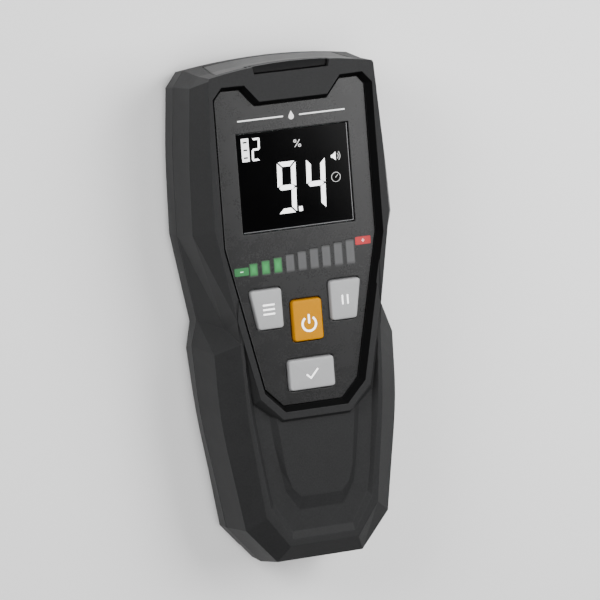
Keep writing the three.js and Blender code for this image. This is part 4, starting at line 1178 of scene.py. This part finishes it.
@dataclass
class Display:
    """The black display sheet, what it shows, and the stack behind it."""

    edge: float = 0.1
    highlight_inset: float = 0.08
    highlight_width: float = 0.2
    tag_size: tuple[float, float] = (2.4, 7.1)
    point_size: tuple[float, float] = (1.2, 1.45)
    layer_foot: float = 1.2
    layer_pitch: float = 2.35
    layer_width: float = 1.3

    def build(self) -> None:
        """Makes the sheet and everything lit on it."""
        settle(carry_over("display_lens", "display_sheet", self.edge), Finish.LENS, HOUSING, "lens",
               "display_lens")
        self.centre = middle_mm("display_lens")
        self.level = box_mm("display_lens")[1][2] + 0.01
        self.paint_edge_highlight()
        self.show_digits()
        self.show_tag()
        self.show_icons()
        for node, finish in (("lcd_glass", Finish.GLASS), ("lcd_backlight", Finish.BACKLIGHT),
                             ("lcd_frame", Finish.WHITE_PLASTIC), ("display_ribbon", Finish.COPPER)):
            dress_node(node, finish)

    def at(self, x: float, y: float) -> np.ndarray:
        """A place given from the display's middle."""
        return self.centre[:2] + (x, y)

    def show(self, name: str, outline: np.ndarray, finish: Finish) -> None:
        """Lays a flat mark on the display's face.

        Args:
            name: The mark's name.
            outline: Its outline, an (N, 2) array, counter-clockwise.
            finish: Its ink.
        """
        rings = slab(outline, self.level, self.level + INK)
        settle(new_piece(name, *ring_skin(rings)), finish, HOUSING, "lens")

    def paint_edge_highlight(self) -> None:
        """Lays a painted highlight: a light grey strip along the right side and the foot of the sheet,
        standing in for light caught by the sheet's cut edge there.
        """
        low, high = box_mm("display_lens")
        left, foot = low[:2] + self.highlight_inset
        right, head = high[:2] - self.highlight_inset
        width = self.highlight_width
        corners = np.array([[left, foot], [right, foot], [right, head], [right - width, head],
                            [right - width, foot + width], [left, foot + width]])
        rings = slab(corners, self.level - 0.01, self.level + 0.02)
        settle(new_piece("sheet_edge_highlight", *ring_skin(rings)), Finish.GLINT, HOUSING, "lens")

    def show_digits(self) -> None:
        """Shows the reading, its point and the small material number."""
        left, foot = self.at(-6.3, -10.35)
        SegmentDigit("reading_tens", "9", left, foot, 6.0, 15.7, 1.5).build(self.level, Finish.DIGIT)
        left, foot = self.at(3.2, -10.25)
        SegmentDigit("reading_ones", "4", left, foot, 6.1, 15.7, 1.5).build(self.level, Finish.DIGIT)
        left, foot = self.at(-13.5, 6.7)
        small = SegmentDigit("material_number", "2", left, foot, 2.6, 6.9, 0.58, 0.12)
        small.build(self.level, Finish.DIGIT)
        corner = self.at(0.45, -10.2)
        dot = rounded_outline(rectangle(corner, corner + self.point_size), 0.1, 2)
        self.show("reading_point", dot, Finish.DIGIT)

    def show_tag(self) -> None:
        """Shows the upright tag beside the material number and the unit sign over the reading."""
        corner = self.at(-16.65, 6.7)
        tag = rounded_outline(rectangle(corner, corner + self.tag_size), 0.12, 2)
        self.show("material_tag", tag, Finish.TAG)
        top = self.level + INK
        for row in range(3):
            place = corner + (self.tag_size[0] / 2, self.layer_foot + self.layer_pitch * row)
            name = f"material_tag_layer_{row + 1}"
            layer = printed_sign(name, Sign.MINUS, self.layer_width, 0, place, top, 0.5)
            settle(layer, Finish.NOTE, HOUSING, "lens")
        unit = printed_sign("reading_unit", Sign.PERCENT, 2.2, 2.2, self.at(1.45, 10.5), self.level, 0.26)
        settle(unit, Finish.FAINT, HOUSING, "lens")

    def show_icons(self) -> None:
        """Shows the loudspeaker with its two waves, and the dial."""
        base = self.at(13.6, 5.2)
        cone = base + np.array([[-1.5, -0.45], [-1.0, -0.45], [0.0, -1.3],
                                [0.0, 1.3], [-1.0, 0.45], [-1.5, 0.45]])
        self.show("speaker_icon", cone, Finish.DIGIT)
        for number, radius in enumerate((1.15, 1.75)):
            arc = arc_band(base + (-0.3, 0), radius, 0.17, math.radians(-46), math.radians(46))
            self.show(f"speaker_wave_{number + 1}", arc, Finish.FAINT)
        hub = self.at(13.2, -1.2)
        dial = arc_band(hub, 1.45, 0.14, math.radians(90), math.radians(448))
        self.show("dial_icon", dial, Finish.FAINT)
        hand = hub + np.array([[-0.2, -0.06], [-0.06, -0.2], [0.75, 0.7], [0.68, 0.77]])
        self.show("dial_hand", hand, Finish.FAINT)


def arc_band(
    centre: np.ndarray, radius: float, width: float, start: float, end: float, steps: int = 28
) -> np.ndarray:
    """A flat band along an arc.

    Its outer side runs from start to end and its inner side comes back.

    Args:
        centre: Middle of the arc.
        radius: Radius of the band's middle line.
        width: Width of the band.
        start: Angle of one end in radians.
        end: Angle of the other end.
        steps: Chords along each side.

    Returns:
        An (N, 2) outline, counter-clockwise.
    """
    turn = np.linspace(start, end, steps + 1)
    spoke = np.column_stack((np.cos(turn), np.sin(turn)))
    return centre + np.concatenate((spoke * (radius + width / 2), spoke[::-1] * (radius - width / 2)))


@dataclass
class LevelRow:
    """The nine bars between the two patches; the first ones are lit."""

    lit: int = 3
    lip: float = 0.3
    lip_rise: float = 0.05
    corner: float = 0.22

    def build(self) -> None:
        """Makes the bars."""
        for number in range(1, 10):
            node = f"level_bar_{number}"
            low, high = box_mm(node)
            shank = rounded_outline(rectangle(low, high), self.corner, 3)
            lip = moved_out(shank, self.lip)
            face = max(high[2], box_mm("control_panel")[1][2]) + self.lip_rise
            rings = np.stack([at_height(shank, low[2]), at_height(shank, face - self.lip_rise + 0.01),
                              at_height(lip, face - self.lip_rise + 0.01), at_height(lip, face)])
            lit = number <= self.lit
            finish, slot = (Finish.LIT_BAR, "lit_bar") if lit else (Finish.DIM_BAR, "dim_bar")
            settle(new_piece(f"level_light_{number}", *ring_skin(rings)), finish, HOUSING, slot, node)
        dress_node("level_reflector", Finish.WHITE_PLASTIC)


@dataclass
class Key:
    """A moulded key: stem, flange, drafted sides, rounded edge and a faintly crowned top."""

    name: str
    finish: Finish
    slot: str
    lean: float = 0.0
    overhang: float = 0.65
    corner: float = 1.2
    draft: float = 0.12
    edge: float = 0.55
    crown: float = 0.12
    stem: float = 1.5
    flange: float = 0.8
    sign_stroke: float = 0.52

    def outline(self) -> np.ndarray:
        """Draws the key's cap from above; the outer foot is drawn in by the lean.

        Returns:
            Its four corners, counter-clockwise.
        """
        low, high = box_mm(f"{self.name}_key")
        corners = rectangle(low[:2] + self.overhang, high[:2] - self.overhang)
        if self.lean > 0:
            corners[1, 0] -= self.lean
        if self.lean < 0:
            corners[0, 0] -= self.lean
        return corners

    def build(self) -> None:
        """Makes the key as rings: round stem, flange, cap sides, rounded edge, then shrinking crown."""
        node, body = f"{self.name}_key", f"{self.name}_key"
        low, high = box_mm(node)
        seat = middle_mm(f"{self.name}_plunger")[:2]
        side = rounded_outline(self.outline(), self.corner, 6)
        wide = rounded_outline(moved_out(self.outline(), self.overhang - 0.02), self.corner, 6)
        turn = np.arctan2(*(side - side.mean(0)).T[::-1])
        stem = seat + self.stem * np.column_stack((np.cos(turn), np.sin(turn)))
        flange_low = box_mm("control_panel")[0][2] - 0.3 - self.flange
        rings = [at_height(stem, low[2]), at_height(stem, flange_low), at_height(wide, flange_low),
                 at_height(wide, flange_low + self.flange), at_height(side, flange_low + self.flange)]
        top = high[2] - self.crown
        bend = np.linspace(0, math.pi / 2, 6)
        rings += [at_height(moved_out(side, -self.draft - self.edge * (1 - math.cos(angle))),
                            top - self.edge * (1 - math.sin(angle))) for angle in bend]
        rim = rings[-1][:, :2]
        centre = rim.mean(0)
        # The crown: rings drawn towards the middle by a share s rise by the crown times 1 - (1 - s) ** 2.
        for share in (0.12, 0.3, 0.5, 0.7, 0.88, 0.97):
            rise = self.crown * (1 - (1 - share) ** 2)
            rings.append(at_height(centre + (rim - centre) * (1 - share), top + rise))
        settle(new_piece(f"{self.name}_keycap", *ring_skin(np.stack(rings)), smooth_angle=50.0),
               self.finish, body, self.slot, node)
        self.face = high[2]
        self.middle = centre
        dress_node(f"{self.name}_plunger", Finish.WHITE_PLASTIC)
        dress_node(f"{self.name}_switch", Finish.CHIP)

    def print_sign(self, sign: Sign, width: float, height: float) -> None:
        """Prints a sign in the middle of the key's top.

        Args:
            sign: Which sign it is.
            width: Width between the middles of its outer strokes.
            height: Height between them.
        """
        mark = printed_sign(f"{self.name}_sign", sign, width, height, self.middle, self.face - 0.03,
                            self.sign_stroke, depth=0.05)
        settle(mark, Finish.LEGEND, f"{self.name}_key", self.slot)

    def print_power_sign(self, radius: float, width: float, shift: Sequence[float]) -> None:
        """Prints the open ring and stroke that mark a power key.

        Args:
            radius: Radius of the ring's middle line.
            width: Width of the ring and the stroke.
            shift: The ring's middle from the middle of the key.
        """
        centre = self.middle + shift
        ring = arc_band(centre, radius, width, math.radians(125), math.radians(415))
        bar = rounded_outline(rectangle(centre + (-width / 2, 0.1), centre + (width / 2, radius + 0.75)),
                              width * 0.45, 3)
        for name, outline in (("power_ring", ring), ("power_stroke", bar)):
            rings = slab(outline, self.face - 0.03, self.face + 0.02)
            settle(new_piece(name, *ring_skin(rings)), Finish.LEGEND, "power_key", self.slot)


@dataclass
class Keypad:
    """The four keys, their switches and the seal under them."""

    keys: dict[str, Key] = field(default_factory=lambda: {
        "mode": Key("mode", Finish.KEY, "key", lean=-2.1),
        "hold": Key("hold", Finish.KEY, "key", lean=2.1),
        "power": Key("power", Finish.POWER_KEY, "power_key"),
        "set": Key("set", Finish.KEY, "key"),
    })

    def build(self) -> None:
        """Makes the keys and prints their signs."""
        for key in self.keys.values():
            key.build()
        self.keys["mode"].print_sign(Sign.LIST, 3.8, 2.8)
        self.keys["hold"].print_sign(Sign.PAUSE, 1.7, 2.9)
        self.keys["set"].print_sign(Sign.TICK, 3.8, 2.7)
        self.keys["power"].print_power_sign(2.2, 0.62, (0.2, -1.2))
        dress_node("key_seal", Finish.SILICONE)


@dataclass
class Inside:
    """What the case holds: boards, sensor parts and the battery bay."""

    finishes: dict[str, Finish] = field(default_factory=lambda: {
        "main_board": Finish.BOARD,
        "sensor_board": Finish.BOARD,
        "processor": Finish.CHIP,
        "buzzer": Finish.CHIP,
        "alert_led": Finish.WHITE_PLASTIC,
        "electrode_plate": Finish.COPPER,
        "sensor_lead": Finish.LEAD,
        "battery_holder": Finish.CHIP,
        "battery_lead_red": Finish.RED_LEAD,
        "battery_lead_black": Finish.LEAD,
        "board_screw_1": Finish.STEEL,
        "board_screw_2": Finish.STEEL,
    })

    def build(self) -> None:
        """Dresses the inner nodes."""
        for node, finish in self.finishes.items():
            dress_node(node, finish)
        low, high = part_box("cell_1")
        sleeve = CellSleeve("Cell sleeve", low[1], high[1] - low[1]).make()
        for number in range(1, 4):
            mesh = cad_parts[f"cell_{number}"].data
            mesh.materials.clear()
            mesh.materials.append(sleeve)
            dress_node(f"cell_spring_{number}", Finish.STEEL)
            dress_node(f"cell_contact_{number}", Finish.STEEL)


@dataclass(frozen=True)
class SoftBox:
    """A rectangular studio light aimed at the meter."""

    name: str
    azimuth: float
    elevation: float
    distance: float
    size: tuple[float, float]
    power: float

    def build(self, target: Vector) -> None:
        """Hangs the light.

        Args:
            target: What it points at, in metres.
        """
        lamp = bpy.data.lights.new(self.name, "AREA")
        lamp.shape = "RECTANGLE"
        lamp.size, lamp.size_y = self.size
        lamp.energy = self.power
        holder = bpy.data.objects.new(self.name, lamp)
        flat = math.cos(math.radians(self.elevation))
        turn = math.radians(self.azimuth)
        rise = math.sin(math.radians(self.elevation))
        away = Vector((flat * math.cos(turn), flat * math.sin(turn), rise))
        holder.location = target + away * self.distance
        holder.rotation_euler = (-away).to_track_quat("-Z", "Y").to_euler()
        bpy.context.scene.collection.objects.link(holder)


@dataclass
class Studio:
    """Pale floor, soft lights and the camera."""

    azimuth: float = 156.83
    elevation: float = 67.34
    distance: float = 1510.0
    roll: float = -4.398
    aim: tuple[float, float, float] = (0.97, 3.2, 22.0)
    lens: float = 296.8
    floor_half: float = 6000.0
    floor_colour: Colour = (0.93, 0.93, 0.93)
    air_strength: float = 0.18
    lights: tuple[SoftBox, ...] = (
        SoftBox("Main light", 24.6, 49.6, 0.46, (0.34, 0.34), 2.8),
        SoftBox("Left light", 146.0, 30.0, 0.9, (0.4, 0.4), 6.0),
        SoftBox("High light", 200.0, 80.0, 2.2, (1.2, 1.2), 26.0),
    )

    def build(self) -> None:
        """Lays the floor, hangs the lights and sets the camera."""
        target = Vector(self.aim) * MM
        half = self.floor_half
        corners = at_height(rectangle((-half, -half), (half, half)), -0.3)
        floor = new_piece("studio_floor", corners, [[0, 1, 2, 3]])
        floor.data.materials.append(StudioFloor("Studio floor", self.floor_colour).make())
        for light in self.lights:
            light.build(target)
        world = bpy.data.worlds.new("Studio air")
        world.use_nodes = True
        air = world.node_tree.nodes["Background"]
        air.inputs[0].default_value = (1.0, 1.0, 1.0, 1.0)
        air.inputs[1].default_value = self.air_strength
        bpy.context.scene.world = world
        self.place_camera(target)

    def place_camera(self, target: Vector) -> None:
        """Sets the camera at its azimuth, elevation and distance, rolled about its line of sight.

        Args:
            target: What it looks at, in metres.
        """
        turn, rise = math.radians(self.azimuth), math.radians(self.elevation)
        away = Vector((math.cos(rise) * math.cos(turn), math.cos(rise) * math.sin(turn), math.sin(rise)))
        across = Vector((0, 1, 0)).cross(away).normalized()
        upward = away.cross(across)
        facing = Matrix((across, upward, away)).transposed()
        spin = Matrix.Rotation(math.radians(self.roll), 3, "Z")
        camera = bpy.data.cameras.new("Camera")
        camera.lens = self.lens
        camera.sensor_width = 36.0
        camera.clip_start, camera.clip_end = 0.05, 50.0
        holder = bpy.data.objects.new("Camera", camera)
        place = Matrix.Translation(target + away * self.distance * MM)
        holder.matrix_world = place @ (facing @ spin).to_4x4()
        bpy.context.scene.collection.objects.link(holder)
        bpy.context.scene.camera = holder


def main() -> None:
    """Builds the meter and its studio."""
    logging.basicConfig(level=logging.INFO, format="%(name)s: %(message)s")
    for assembly in (Studio(), Case(), ControlPanel(), Display(), LevelRow(), Keypad(), Inside()):
        LOG.info("building %s", type(assembly).__name__)
        assembly.build()


if __name__ == "__main__":
    main()
